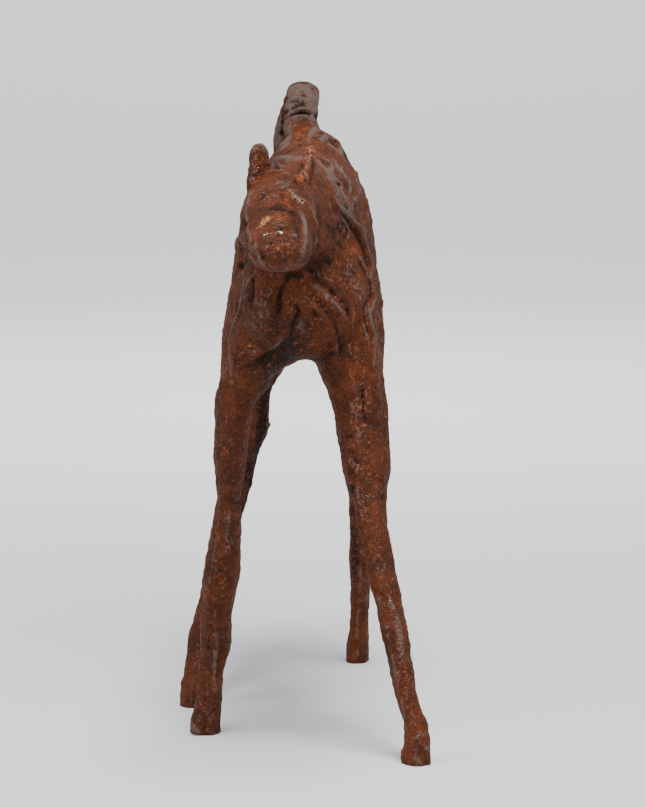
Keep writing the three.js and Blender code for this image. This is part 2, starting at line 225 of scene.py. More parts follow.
whole = cutSoles(remeshed(roughSkin(), skin["voxel"], skin["smoothing"]))
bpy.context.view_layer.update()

# Where the castings meet. Each plane cuts the skin of its own two castings, so that they part along
# a clean edge. The ears and the tail have their planes across their roots
parting = {
    "ears": {"right_ear": (-0.0390, -0.2410, 0.5820), "left_ear": (0.0058, -0.2415, 0.5790)},
    "earReach": 0.017,  # how far from its place a plane still parts its castings
    "tail": (-0.001, 0.2838, 0.6215),
    "tailLean": 24,
    "tailReach": 0.045,
    "bodyReach": 1.0,
    "band": 0.004,  # only faces this near to the plane are cut
    "snap": 0.00025,
}


def plane(lower, upper, place, normal, reach):
    return {"pair": (lower, upper), "place": np.array(place), "normal": np.array(normal), "reach": reach}


def seam(lower, upper, axis):
    # The plane halfway between two neighbours along one axis
    middle = (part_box(lower)[1][axis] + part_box(upper)[0][axis]) / 2
    normal = np.eye(3)[axis]
    return plane(lower, upper, normal * middle, normal, parting["bodyReach"])


lean = math.radians(parting["tailLean"])
partings = [seam("head", "neck", 1), seam("neck", "forequarters", 1), seam("forequarters", "barrel", 1),
            seam("barrel", "hindquarters", 1)]
partings += [seam(leg, "forequarters", 2) for leg in ("left_foreleg", "right_foreleg")]
partings += [seam(leg, "hindquarters", 2) for leg in ("left_hind_leg", "right_hind_leg")]
partings += [plane("head", ear, place, (0.0, 0.0, 1.0), parting["earReach"])
             for ear, place in parting["ears"].items()]
partings.append(plane("hindquarters", "tail", parting["tail"], (0.0, math.sin(lean), math.cos(lean)),
                      parting["tailReach"]))
castings = [name for name in skin["bodies"] + skin["ears"] if name != "belly_plug"]


def nearestCasting(mesh):
    # For each face, the number of the casting that it belongs to
    corners = []
    faces = []
    owner = []
    for number, name in enumerate(castings):
        data = nodes[name].data
        start = len(corners)
        corners += [vert.co.copy() for vert in data.vertices]
        faces += [[start + corner for corner in face.vertices] for face in data.polygons]
        owner += [number] * len(data.polygons)
    tree = BVHTree.FromPolygons(corners, faces)
    found = [tree.find_nearest(Vector(centre))[2] for centre in readAll(mesh.polygons, "center", 3)]
    return np.array(owner)[found]


def settle(labels, centres):
    # Faces of the two castings at a seam go to the side of the plane that they are on
    for part in partings:
        pair = [castings.index(name) for name in part["pair"]]
        offset = centres - part["place"]
        at = np.isin(labels, pair) & (np.linalg.norm(offset, axis=1) < part["reach"])
        above = offset @ part["normal"] > 0
        labels[at & above] = pair[1]
        labels[at & ~above] = pair[0]
    return labels


def partedSkin(mesh):
    labels = settle(nearestCasting(mesh), readAll(mesh.polygons, "center", 3))
    addAttribute(mesh, "casting", "INT", "FACE", labels.astype(np.int32))
    bm = bmesh.new()
    bm.from_mesh(mesh)
    layer = bm.faces.layers.int["casting"]
    for part in partings:
        pair = [castings.index(name) for name in part["pair"]]
        place = Vector(part["place"])
        normal = Vector(part["normal"])
        near = []
        for face in bm.faces:
            if face[layer] in pair:
                offset = face.calc_center_median() - place
                if abs(offset.dot(normal)) < parting["band"] and offset.length < part["reach"]:
                    near.append(face)
        edges = dict.fromkeys(edge for face in near for edge in face.edges)
        verts = dict.fromkeys(vert for face in near for vert in face.verts)
        bmesh.ops.bisect_plane(bm, geom=[*edges, *verts, *near], dist=parting["snap"],
                               plane_co=place, plane_no=normal)
    parted = meshFrom(bm, "parted")
    cut = parted.attributes["casting"].data
    labels = settle(readAll(cut, "value", kind=np.int32), readAll(parted.polygons, "center", 3))
    cut.foreach_set("value", labels)
    return parted, labels


whole, castingOf = partedSkin(whole)
print("skin parted:", {name: int((castingOf == number).sum()) for number, name in enumerate(castings)})

# Strokes that model the muscles, folds and face. Each is (reach, rise, points) in millimetres: it
# follows its points, raises the skin by rise or sinks it where rise is negative, and fades out over
# its reach. A crest is sharp, a lump is round, a fold steps up on the left of its way, and a ridge
# has a groove on the right of its way.
# Points are pixels of the photograph where it shows the form, and otherwise millimetres in the
# horse's own frame: (along, up) on its sides, (across, along) from above, (across, up) from behind.
strokes = {
    "photo": {
        "lump": {
            "dome": (20, 2.4, [(276, 184), (284, 190)]),
            "jaw": (11, 7.0, [(243, 236), (240.5, 246), (242, 257)]),
            "rightSocket": (8.5, -3.4, [(286, 197), (293, 202.5)]),
            "leftSocket": (6.5, -2.4, [(257, 199), (261, 197.5)]),
            "snout": (17, 3.8, [(277, 224), (282, 230)]),
            "snoutHollow": (9, -5.2, [(264, 209), (273, 206.5), (284, 207), (293, 210.5), (298, 219),
                                      (298, 230)]),
            "snoutLedge": (5, 2.4, [(266, 235), (280, 234), (295, 236.5)]),
            "mouth": (5, -2.4, [(256, 247), (260, 256), (265, 262)]),
            "nostril": (3.2, -1.2, [(268, 244), (270.5, 245)]),
            "jawTop": (7, -3.6, [(243, 225), (246, 227)]),
            "jawBottom": (6, -4.2, [(238.5, 265), (244, 267.5)]),
            "jawLine": (5.5, -6.0, [(246, 228), (246.6, 240), (246, 250), (244.5, 261)]),
            "earCrease": (5, -4.2, [(293, 180), (300, 184), (305, 190)]),
            "earRoot": (7, 2.2, [(295, 179), (301, 174)]),
            "pocket": (5, -4.0, [(275, 168), (279, 170)]),
            "crestRoll": (9, 4.6, [(274, 164), (282, 161), (291, 158), (301, 155.5)]),
            "crestHollow": (5, -1.8, [(288, 171), (292, 172.5)]),
            "behindCrest": (8, -6.5, [(281, 153.5), (290, 149), (302, 145)]),
            "darkSlotA": (6, -5.0, [(335.7, 162), (337.2, 170), (338.5, 178)]),
            "darkSlotB": (6, -5.0, [(344.6, 170), (347.5, 180), (350, 195)]),
            "notchHigh": (10, -5.5, [(344.5, 156), (347.5, 160)]),
            "hip": (13, 5.0, [(333, 137), (339, 145)]),
            "notchLow": (10, -5.0, [(370.5, 249), (371, 253)]),
            "hookHollow": (6, -2.2, [(352, 188), (352.5, 197)]),
            "ribHollow": (7, -2.0, [(358, 206), (359, 216), (357, 224)]),
            "neckHollow": (12, -3.0, [(330, 196), (334, 207), (338, 218)]),
            "darkPatch": (13, -2.6, [(337, 226), (344, 231)]),
            "shoulder": (18, 3.0, [(348, 250), (352, 272)]),
            "neckSide": (8, -2.4, [(319, 205), (318, 222), (319, 246)]),
            "throat": (8, -2.0, [(302, 280), (297, 277), (291, 276)]),
            "cleftLeft": (4.6, -2.4, [(289, 276), (284, 285), (280.5, 294), (279.5, 304), (279, 317)]),
            "lobe": (8, 1.2, [(288, 288), (289, 300), (288.5, 316)]),
            "cleftRight": (4.4, -2.4, [(294.6, 304), (297.9, 311.4), (296.3, 319.7), (292, 329)]),
            "cord": (8, 3.2, [(303, 275), (311, 282.5), (320, 291), (329, 300), (337, 307), (343, 312)]),
            "cordGroove": (5, -2.0, [(306, 268.5), (316, 275.5), (325, 285), (332.5, 293), (340, 300.5),
                                     (347, 307)]),
            "cordEnd": (4.4, -3.4, [(346, 307), (348.8, 312), (349.4, 318)]),
            "legGroove": (9, 1.6, [(302, 287.5), (308, 297.5), (315, 306.5), (322.5, 311), (329.6, 321),
                                   (334.8, 332), (337, 347), (338.5, 361)]),
            "legRoot": (12, 1.2, [(315, 330), (320, 346), (326, 362)]),
            "leftPanel": (9, -5.0, [(251.5, 276), (251.5, 293), (250.5, 312)]),
            "leftBreast": (18, 4.0, [(264, 296), (262, 316), (261, 336)]),
            "leftPad": (10, 2.0, [(248, 346), (254, 352)]),
            "leftUnder": (9, -4.5, [(243, 368), (254, 365), (266, 359), (279, 352), (287, 344),
                                    (292, 334)]),
            "belly": (12, -2.4, [(282, 360), (292, 353), (300, 350)]),
            "rightPad": (8, 2.2, [(300, 324), (304, 333)]),
            "crotch": (8, 2.0, [(275, 374), (283, 368), (293, 363)]),
            "elbowPit": (5, -2.6, [(376, 326), (378, 331)]),
            "elbowLump": (11, 4.0, [(379.5, 298), (380, 310)]),
            "flankStrip": (6, -1.0, [(236.5, 302), (235, 312)]),
            "crack": (3.0, -2.0, [(362, 380), (363.4, 388), (362.4, 395), (364.4, 402), (363.4, 410),
                                  (365, 417), (365.4, 425)]),
            "kneeCrease": (4, -1.4, [(341, 436), (348, 438), (356, 436)]),
            "kneePit": (5, -1.4, [(355.5, 461.5), (358, 462.5)]),
            "kneeBump": (5, 1.5, [(351, 461), (353, 466)]),
            "kneeNotch": (7, -3.4, [(384.5, 496), (385, 499)]),
            "kneeBulge": (12, 1.5, [(384, 470), (385, 482)]),
            "shinPit": (4.4, -1.4, [(379, 563.5), (379.8, 564.5)]),
            "shinDip": (6, -1.8, [(357, 556), (363, 570), (369, 584)]),
            "shinCrease": (4, -1.6, [(372.8, 586), (380, 594), (387.6, 601)]),
            "hoofNotch": (4, -2.6, [(404.5, 753), (406, 755.5)]),
            "hoofFace": (8, 1.8, [(416, 760), (421, 765)]),
            "hoofLeft": (7, 2.4, [(406, 748), (405.5, 762)]),
            "hoofRight": (7, 2.4, [(426, 745), (427, 762)]),
            "hindShinSwell": (7, 2.0, [(364, 588), (365, 606)]),
            "hoofBand": (6, 1.2, [(408, 738), (416, 737), (424, 738)]),
            "rightKnee": (5, -2.0, [(217, 499), (224, 501), (232, 501), (240, 503)]),
            "rightKneePad": (9, 1.4, [(223, 487), (233, 487)]),
            "rightShinDip": (5, -1.6, [(222, 560), (219, 585), (217, 610)]),
            "rightShinGroove": (3.6, -1.8, [(212, 594), (211, 625), (209, 650), (208.5, 672)]),
            "rightHoofCleft": (3, -2.0, [(206, 716), (204, 726), (203, 734)]),
            "rightHoofToe": (7, 3.0, [(194.5, 727), (199, 731)]),
            "rightAnkle": (7, -2.0, [(205, 700), (208, 706)]),
            "hockBump": (6, 4.2, [(265.5, 424), (265, 430)]),
            "tailPeakLeft": (7, -3.0, [(287.5, 87.5), (293, 85.5)]),
            "tailPeakRight": (7, -2.6, [(313.5, 88), (316, 92)]),
            "tailNotch": (4, -2.8, [(285.5, 98), (288, 98.5)]),
            "tailBulge": (7, 2.4, [(318, 101), (318.5, 107)]),
            "tailWaist": (5, -2.6, [(317, 116.5), (318, 118.5)]),
            "tailFold": (5, -3.0, [(281, 115), (287, 113), (296, 106.8), (304, 106), (313, 108)]),
            "tailFoldLow": (4, -2.8, [(288, 121), (293, 116), (303, 113.5), (313, 115.5)]),
            "tailFlap": (4, -2.8, [(284, 114), (283, 125), (281.5, 137)]),
            "croupLeft": (10, -3.4, [(287, 150), (296, 141), (304, 131), (308, 124)]),
            "croupRight": (9, -2.6, [(312, 148), (316, 138), (318, 130)]),
        },
        "crest": {
            "faceLeft": (5.4, 2.6, [(262, 186), (254, 190.5), (250, 197), (248, 206), (247, 216),
                                    (248.4, 229), (251, 240), (252, 250)]),
            "brow": (5.5, 4.0, [(288, 189.5), (294, 194), (298, 198), (305, 202), (309, 207), (312, 215),
                                (314, 226), (314, 240), (311, 257)]),
            "leftBrow": (3, 1.0, [(254, 198), (257, 194.5), (263, 193.5), (268, 195)]),
            "foreheadA": (4.4, 1.0, [(258, 190), (270, 184.5), (283, 184.5), (291, 188)]),
            "foreheadB": (4.4, 0.9, [(260, 201), (270, 196), (280, 196.5)]),
            "snoutSide": (6, 3.0, [(300, 213), (304, 222), (304.3, 235), (303, 249), (298, 262)]),
            "lip": (5, 2.6, [(255, 243), (257.6, 252), (261, 260), (266, 265.5)]),
            "poll": (5, 3.0, [(262, 176), (272, 173), (283, 174), (291, 178)]),
            "pocketEdge": (4, 2.4, [(270, 169), (273, 165), (279, 165), (282, 171)]),
            "mainFork": (5, 2.6, [(372, 326), (376, 333), (379.9, 340.7), (380.4, 355.4), (379, 365)]),
            "neckShortA": (5, 2.0, [(316, 178.4), (321.4, 182), (325, 186.4)]),
            "neckShortB": (5, 2.0, [(331, 196), (331, 200.7), (328.6, 208)]),
            "planeEdge": (4, 1.7, [(364, 320), (366.6, 336.4), (370, 352)]),
            "shinLine": (4, 1.4, [(357, 484), (361, 510), (364, 536)]),
            "strap": (5, 2.2, [(361.3, 551.6), (372.8, 563), (376, 574.6)]),
            "shinGlint": (4, 1.9, [(389.2, 597.6), (393, 607), (397.4, 619), (400.7, 637), (399, 651.9)]),
            "shinInner": (4, 1.3, [(379, 600), (387, 630), (394, 665), (401, 700), (408, 735)]),
            "kneeLine": (4, 1.3, [(352, 400), (351, 416), (353, 432)]),
            "rightShinLine": (3.8, 1.7, [(229.5, 508), (228.4, 521.4), (226, 537), (230.7, 544)]),
            "rightShinEdge": (4, 1.5, [(219, 520), (215.5, 545), (212, 570), (208, 594)]),
            "rightShinLow": (4, 1.6, [(217, 625), (217, 645), (215.5, 660), (213.5, 690)]),
            "hindShinLine": (4, 1.4, [(361, 545), (360.5, 570), (359, 600), (356, 640)]),
            "tailHook": (6, 3.8, [(288, 101), (296, 99), (304, 100), (308, 104), (313, 108)]),
            "tailTwist": (4.5, 2.4, [(287, 89), (294, 87.5), (301, 87), (307, 90), (312, 97), (313, 104)]),
            "tailLip": (5, 3.0, [(288, 93), (296, 91), (303, 91), (308, 96), (311, 103)]),
            "tailBandA": (5, 3.4, [(285, 117), (292, 112), (303, 109), (312, 111)]),
            "tailBandB": (5, 3.2, [(286, 125), (290, 119), (300, 116), (312, 118)]),
            "tailStrand": (5, 3.0, [(281, 146), (284, 130), (287, 118)]),
        },
        "ridge": {
            "ridgeTwo": (9, 4.4, [(333, 158.8), (335.7, 165), (339.3, 169.5), (342.9, 175.7),
                                  (346.4, 183.8), (348.7, 191), (350.4, 198), (351.3, 206), (353.6, 216)]),
            "ridgeThree": (7.5, 3.6, [(333.9, 178.4), (339.3, 183.8), (342, 191.8), (344.6, 199),
                                      (348.2, 206), (350, 211.4)]),
            "main": (9, 5.0, [(333.9, 195.4), (339.3, 205.2), (344.6, 211.4), (350, 218.6), (355.4, 225.7),
                              (360.7, 234.6), (364.3, 243.6), (366.5, 252.5), (368.3, 265), (368.8, 277.5),
                              (370, 282), (371.8, 299.4), (369.2, 310.6), (370.9, 325.2), (374.3, 335.6),
                              (374.8, 351), (373.5, 365.7)]),
            "mainBeside": (7, 2.0, [(358.9, 256), (364.3, 267.7), (366, 277.5)]),
            "flank": (9, 3.2, [(346, 161), (352.7, 171.3), (355.4, 180.2), (358, 186.4), (358, 193.6),
                               (354.5, 199.8), (351.3, 202.5)]),
            "rib": (8, 3.0, [(362.5, 195.4), (365.6, 204.3), (366.5, 212.3), (364.3, 222)]),
            "crestSide": (8, 3.6, [(317, 154.7), (322.3, 157.4), (326.8, 161.4), (330.8, 166.8),
                                   (331.3, 173)]),
            "hipArcA": (8, 3.6, [(322, 141), (325, 134), (334, 130)]),
            "hipArcB": (10, 4.4, [(324, 141), (329, 139), (336, 143), (340, 150), (341, 157)]),
            "hipLineA": (8, 2.6, [(319, 153), (326, 159), (330, 166), (332, 172)]),
            "hipLineB": (7, 2.2, [(331, 158), (336, 164), (341, 172)]),
            "leftLineA": (8, 3.0, [(246, 276), (244, 284), (242.8, 293), (240.7, 305), (237.4, 314.7),
                                   (232.4, 326.3), (230.3, 336.3), (230.8, 350.4), (231.6, 371),
                                   (231.4, 392)]),
            "leftLineB": (7, 2.4, [(250, 277), (247.5, 284), (246, 295), (244.5, 308)]),
            "patchEdge": (6, 1.8, [(342.9, 217.7), (348.7, 229.3), (348.7, 235.5), (344.6, 241.8)]),
        },
        "fold": {
            "legFold": (10, 2.2, [(340, 364), (338, 346), (334, 330), (328, 318), (320, 308), (308, 296),
                                  (302, 287)]),
            "breastFold": (8, 2.4, [(262, 356), (272, 351), (281, 344), (288, 334)]),
        },
    },
    "left": {
        "crest": {
            "bladeA": (9, 2.4, [(-150, 575), (-132, 540), (-110, 500), (-96, 455), (-98, 415)]),
            "bladeB": (7, 2.0, [(-120, 585), (-98, 545), (-78, 500), (-70, 455), (-74, 420)]),
            "sweepA": (7, 1.8, [(-205, 555), (-170, 535), (-140, 500), (-126, 460), (-130, 420)]),
            "ribA": (8, 1.6, [(-40, 585), (-22, 545), (-10, 500), (-6, 450)]),
            "ribB": (8, 1.6, [(4, 580), (20, 540), (30, 495), (32, 445)]),
            "ribC": (8, 1.6, [(50, 578), (66, 535), (74, 490), (76, 440)]),
            "haunchA": (9, 2.4, [(160, 590), (184, 555), (200, 515), (206, 470), (202, 425)]),
            "haunchB": (7, 2.0, [(205, 595), (232, 560), (246, 515), (250, 465), (244, 415), (238, 375)]),
            "stifle": (8, 2.2, [(140, 440), (168, 425), (196, 400), (214, 365)]),
            "gaskin": (5, 1.6, [(236, 370), (252, 325), (268, 280)]),
            "neckTop": (6, 1.8, [(-236, 575), (-205, 576), (-170, 580), (-140, 586)]),
            "neckCord": (7, 2.2, [(-230, 522), (-204, 512), (-178, 498), (-160, 478)]),
            "jaw": (7, 2.0, [(-250, 548), (-243, 528), (-252, 510), (-272, 502)]),
            "cheekBone": (5, 1.3, [(-258, 556), (-282, 545), (-306, 534), (-330, 526)]),
            "forearm": (6, 1.8, [(-116, 385), (-128, 345), (-140, 305), (-150, 268)]),
            "cannon": (4, 1.3, [(-166, 220), (-180, 160), (-194, 100), (-206, 60)]),
            "hindCannon": (4, 1.3, [(276, 205), (284, 145), (294, 85)]),
            "bellyCord": (7, 1.6, [(-60, 408), (-10, 400), (50, 402), (110, 416)]),
        },
        "lump": {
            "bladeGroove": (9, -2.6, [(-134, 575), (-116, 535), (-92, 495), (-82, 450)]),
            "backOfBlade": (10, -3.0, [(-92, 575), (-68, 530), (-54, 485), (-54, 440)]),
            "ribGrooveA": (9, -1.6, [(-18, 578), (2, 535), (12, 490), (14, 445)]),
            "ribGrooveB": (9, -1.6, [(28, 575), (44, 530), (54, 485), (54, 440)]),
            "flank": (22, -3.6, [(118, 520), (124, 490), (130, 462)]),
            "hamGroove": (9, -2.6, [(188, 590), (214, 550), (224, 505), (226, 455), (220, 410)]),
            "elbow": (12, 2.2, [(-62, 398), (-58, 386)]),
            "cheek": (14, 2.0, [(-268, 528), (-262, 522)]),
            "neckGroove": (8, -2.2, [(-232, 540), (-205, 532), (-180, 520), (-160, 500)]),
            "hock": (7, 2.2, [(287, 262), (289, 250)]),
            "forearmGroove": (6, -1.8, [(-128, 380), (-140, 340), (-152, 300)]),
            "mouth": (3, -1.4, [(-366, 508), (-352, 507), (-338, 508)]),
            "fetlock": (8, 1.4, [(-205, 40), (-207, 34)]),
        },
    },
    "right": {
        "crest": {
            "bladeA": (9, 2.2, [(-152, 575), (-136, 540), (-118, 500), (-106, 455), (-104, 415)]),
            "bladeB": (7, 1.8, [(-116, 585), (-94, 545), (-76, 500), (-68, 455), (-70, 420)]),
            "ribA": (8, 1.6, [(-50, 585), (-30, 545), (-18, 500), (-14, 450)]),
            "ribB": (8, 1.6, [(-4, 580), (14, 540), (24, 495), (26, 445)]),
            "ribC": (8, 1.6, [(42, 578), (58, 535), (66, 490), (68, 440)]),
            "haunchA": (9, 2.2, [(156, 590), (178, 555), (190, 515), (192, 470), (184, 425)]),
            "haunchB": (7, 1.8, [(204, 595), (228, 560), (240, 515), (240, 465), (228, 415), (214, 375)]),
            "stifle": (8, 2.0, [(122, 440), (148, 425), (170, 400), (182, 365)]),
            "gaskin": (5, 1.5, [(204, 365), (200, 325), (196, 285)]),
            "neckTop": (6, 1.8, [(-236, 572), (-205, 574), (-170, 578), (-140, 584)]),
            "neckCord": (7, 2.0, [(-230, 520), (-204, 510), (-178, 496), (-160, 476)]),
            "cheekBone": (5, 1.2, [(-258, 556), (-282, 545), (-306, 534), (-330, 526)]),
            "forearm": (6, 1.0, [(-104, 355), (-100, 315), (-98, 275)]),
            "cannon": (4, 1.0, [(-92, 220), (-86, 150), (-82, 90)]),
            "hindCannon": (4, 1.2, [(152, 210), (124, 145), (100, 88)]),
            "bellyCord": (7, 1.4, [(-60, 408), (-10, 400), (50, 402), (100, 416)]),
        },
        "lump": {
            "bladeGroove": (9, -2.6, [(-134, 575), (-114, 535), (-96, 495), (-86, 450)]),
            "backOfBlade": (10, -3.0, [(-88, 575), (-62, 530), (-50, 485), (-50, 440)]),
            "ribGrooveA": (9, -1.6, [(-28, 578), (-6, 535), (4, 490), (6, 445)]),
            "flank": (22, -3.6, [(106, 520), (110, 490), (112, 462)]),
            "hamGroove": (9, -2.6, [(188, 590), (208, 550), (216, 505), (214, 455), (204, 410)]),
            "neckGroove": (8, -2.2, [(-232, 540), (-205, 532), (-180, 520), (-160, 500)]),
            "hock": (7, 2.2, [(204, 270), (201, 258)]),
            "mouth": (3, -1.4, [(-366, 508), (-352, 507), (-338, 508)]),
        },
    },
    "above": {
        "crest": {
            "spine": (9, 2.0, [(0, -120), (3, -60), (3, 20), (5, 100), (8, 180), (9, 235)]),
            "croupA": (7, 1.4, [(-30, 170), (-10, 190), (12, 205)]),
            "croupB": (7, 1.4, [(44, 160), (34, 190), (26, 215)]),
        },
        "lump": {
            "leftOfSpine": (9, -1.6, [(18, -70), (20, 10), (22, 90), (26, 160)]),
            "rightOfSpine": (9, -1.6, [(-14, -70), (-15, 10), (-12, 90), (-9, 160)]),
            "loin": (16, -1.8, [(-16, 60), (20, 60)]),
        },
    },
    "behind": {
        "crest": {
            "leftHam": (7, 2.0, [(30, 565), (38, 520), (44, 470), (46, 420)]),
            "rightHam": (7, 2.0, [(-16, 565), (-24, 520), (-34, 470), (-42, 420)]),
            "tailA": (3.6, 1.4, [(-4, 640), (-12, 610), (-18, 575), (-21, 545)]),
            "tailB": (3.6, 1.3, [(-16, 640), (-24, 606), (-27, 575), (-25, 548)]),
            "tailC": (3.4, 1.2, [(6, 636), (-2, 606), (-9, 578)]),
        },
        "lump": {
            "cleft": (9, -5.0, [(9, 575), (9, 540), (8, 500), (6, 460)]),
            "tailD": (3.4, -1.8, [(-10, 640), (-18, 608), (-22, 575), (-23, 548)]),
            "tailE": (3.4, -1.8, [(1, 638), (-7, 608), (-13, 578)]),
        },
    },
}
shapes = {  # height across a stroke: 0 is on its line, 1 and -1 at its reach to the left and right
    "crest": lambda t: (1 - abs(t)) ** 2 * (1 + 0.4 * abs(t)),
    "lump": lambda t: (1 - t ** 2) ** 2,
    "ridge": lambda t: (np.clip(1 - abs(t) * 2, 0, 1) ** 1.5
                        - 0.35 * np.clip(1 - ((t + 0.55) / 0.45) ** 2, 0, 1) ** 2),
    "fold": lambda t: np.clip(5 * t, -1, 1) * (1 - abs(t)) ** 2,
}
rays = {  # where a stroke's points are cast from, and which way
    "left": lambda along, up: (Vector((1, along / 1000, up / 1000)), Vector((-1, 0, 0))),
    "right": lambda along, up: (Vector((-1, along / 1000, up / 1000)), Vector((1, 0, 0))),
    "above": lambda across, along: (Vector((across / 1000, along / 1000, 1)), Vector((0, 0, -1))),
    "behind": lambda across, up: (Vector((across / 1000, 1, up / 1000)), Vector((0, -1, 0))),
    "photo": lambda px, py: (view["place"], photoRay(px, py)),
}
hand = {  # how a stroke starts, ends and varies
    "step": 0.002,  # between the points of a stroke's line
    "taper": 0.3, "endRise": 0.1, "taperFrom": 7,  # lines of fewer points than this don't taper
    "waver": 0.35, "waverSize": 0.013, "waverSeed": -4.2,
    "widen": 1.0, "sink": 0.35,  # crests and ridges are wider and lower where their rays graze the skin
}


def strokeLine(tree, side, points):
    # The stroke's points on the skin, with points between them on a smooth line
    hits = [tree.ray_cast(*rays[side](*point))[0] for point in points]
    line = [np.array(hit) for hit in hits if hit is not None]
    if len(line) < 2:
        return line
    ends = [2 * line[0] - line[1]] + line + [2 * line[-1] - line[-2]]
    smooth = []
    for a, b, c, d in zip(ends, ends[1:], ends[2:], ends[3:]):
        steps = max(1, int(np.linalg.norm(c - b) / hand["step"]))
        for step in range(steps):
            t = step / steps
            smooth.append(0.5 * (2 * b + (c - a) * t + (2 * a - 5 * b + 4 * c - d) * t ** 2
                                 + (3 * b - a - 3 * c + d) * t ** 3))
    return smooth + [line[-1]]


def grazing(tree, side, points):
    # 0 where the skin faces a stroke's rays and nearly 1 where they graze it
    found = []
    for point in points:
        start, way = rays[side](*point)
        spot, normal = tree.ray_cast(start, way)[:2]
        if spot is not None:
            found.append((1 - abs(normal.dot(way.normalized()))) ** 3)
    return np.mean(found) if found else 0


def strokeHeights(points, line, reach, shape, taper, facing):
    # How much of its rise a stroke gives to each point of the skin near it
    line = np.array(line)
    low = line.min(0) - reach
    high = line.max(0) + reach
    near = np.nonzero(((points > low) & (points < high)).all(1))[0]
    spots = points[near]
    best = np.full(len(near), np.inf)
    along = np.zeros(len(near))
    turn = np.ones(len(near))
    for number, (start, end) in enumerate(zip(line[:-1], line[1:])):
        way = end - start
        share = np.clip(((spots - start) @ way) / max(way @ way, 1e-12), 0, 1)
        offset = spots - start - share[:, None] * way
        distance = np.linalg.norm(offset, axis=1)
        closer = distance < best
        best[closer] = distance[closer]
        along[closer] = (number + share[closer]) / (len(line) - 1)
        turn[closer] = np.sign(np.cross(way, offset[closer]) @ facing)
    held = best < reach
    near, best, along, turn = near[held], best[held], along[held], turn[held]
    weight = shapes[shape](turn * best / reach)
    if taper:
        ends = np.clip(np.minimum(along, 1 - along) / taper, 0, 1)
        weight *= hand["endRise"] + (1 - hand["endRise"]) * ends * (2 - ends)
    return near, weight


# The skin's own unevenness: broad lumps, small dabs, and long strokes of the knife down the legs.
# The lower legs are a little fuller, and the face is smoother than the rest
relief = {
    "lumpSize": 0.038, "lumpRise": 0.0020,
    "dabSize": 0.010, "dabRise": 0.0009, "dabSeed": 3.7,
    "pebbleSize": 0.0055, "pebbleRise": 0.0006, "pebbleSeed": 8.1,
    "streakSize": 0.011, "streakLength": 0.060, "streakRise": 0.0018, "streakSeed": 11.3,
    "legTop": 0.36, "legFade": 0.05,
    "shinTop": 0.17, "shinFade": 0.04, "shinSwell": 0.0009,
    "faceEnd": -0.255, "faceFade": 0.03, "faceFloor": 0.45, "onFace": 0.35,
}


def noiseAt(points, size, seed=0.0, stretch=1.0):
    return np.array([noise.noise(Vector(p)) for p in points / size / stretch + seed])


def below(heights, top, fade):
    # 1 under the top and 0 over it, with a soft change between them
    return np.clip((top + fade - heights) / (2 * fade), 0, 1)


def reliefAt(points):
    heights = points[:, 2]
    long = np.array([1, 1, relief["streakLength"] / relief["streakSize"]])
    streaks = noiseAt(points, relief["streakSize"], relief["streakSeed"], long)
    rise = relief["lumpRise"] * noiseAt(points, relief["lumpSize"])
    rise += relief["dabRise"] * noiseAt(points, relief["dabSize"], relief["dabSeed"])
    rise += relief["pebbleRise"] * noiseAt(points, relief["pebbleSize"], relief["pebbleSeed"])
    rise += relief["streakRise"] * streaks * below(heights, relief["legTop"], relief["legFade"])
    rise += relief["shinSwell"] * below(heights, relief["shinTop"], relief["shinFade"])
    onFace = np.clip((relief["faceEnd"] - points[:, 1]) / relief["faceFade"], 0, 1)
    onFace *= heights > relief["faceFloor"]
    return rise * (1 - (1 - relief["onFace"]) * onFace)


def skinTree(mesh):
    bm = bmesh.new()
    bm.from_mesh(mesh)
    tree = BVHTree.FromBMesh(bm)
    bm.free()
    return tree


def modelSkin(mesh):
    points = readPoints(mesh)
    tree = skinTree(mesh)
    rise = reliefAt(points)
    waver = noiseAt(points, hand["waverSize"], hand["waverSeed"])
    for side, kinds in strokes.items():
        for shape, group in kinds.items():
            for name, (reach, height, line) in group.items():
                facing = -np.array(rays[side](*line[0])[1])
                slant = grazing(tree, side, line) if shape in ("crest", "ridge") else 0
                line = strokeLine(tree, side, line)
                if len(line) < 2:
                    print("stroke", side, name, "doesn't meet the skin")
                    continue
                reach *= 1 + hand["widen"] * slant
                height *= 1 - hand["sink"] * slant
                taper = hand["taper"] if len(line) >= hand["taperFrom"] else 0
                near, weight = strokeHeights(points, line, reach / 1000, shape, taper, facing)
                rise[near] += height / 1000 * weight * (1 + hand["waver"] * waver[near])
    moved = points + rise[:, None] * readNormals(mesh)
    moved = np.clip(moved, *(np.array(corner) for corner in cadBox))
    moved[points[:, 2] < skin["onFloor"], 2] = 0
    mesh.vertices.foreach_set("co", moved.ravel())
    mesh.update()
    return tree


baseTree = modelSkin(whole)
print("strokes done")

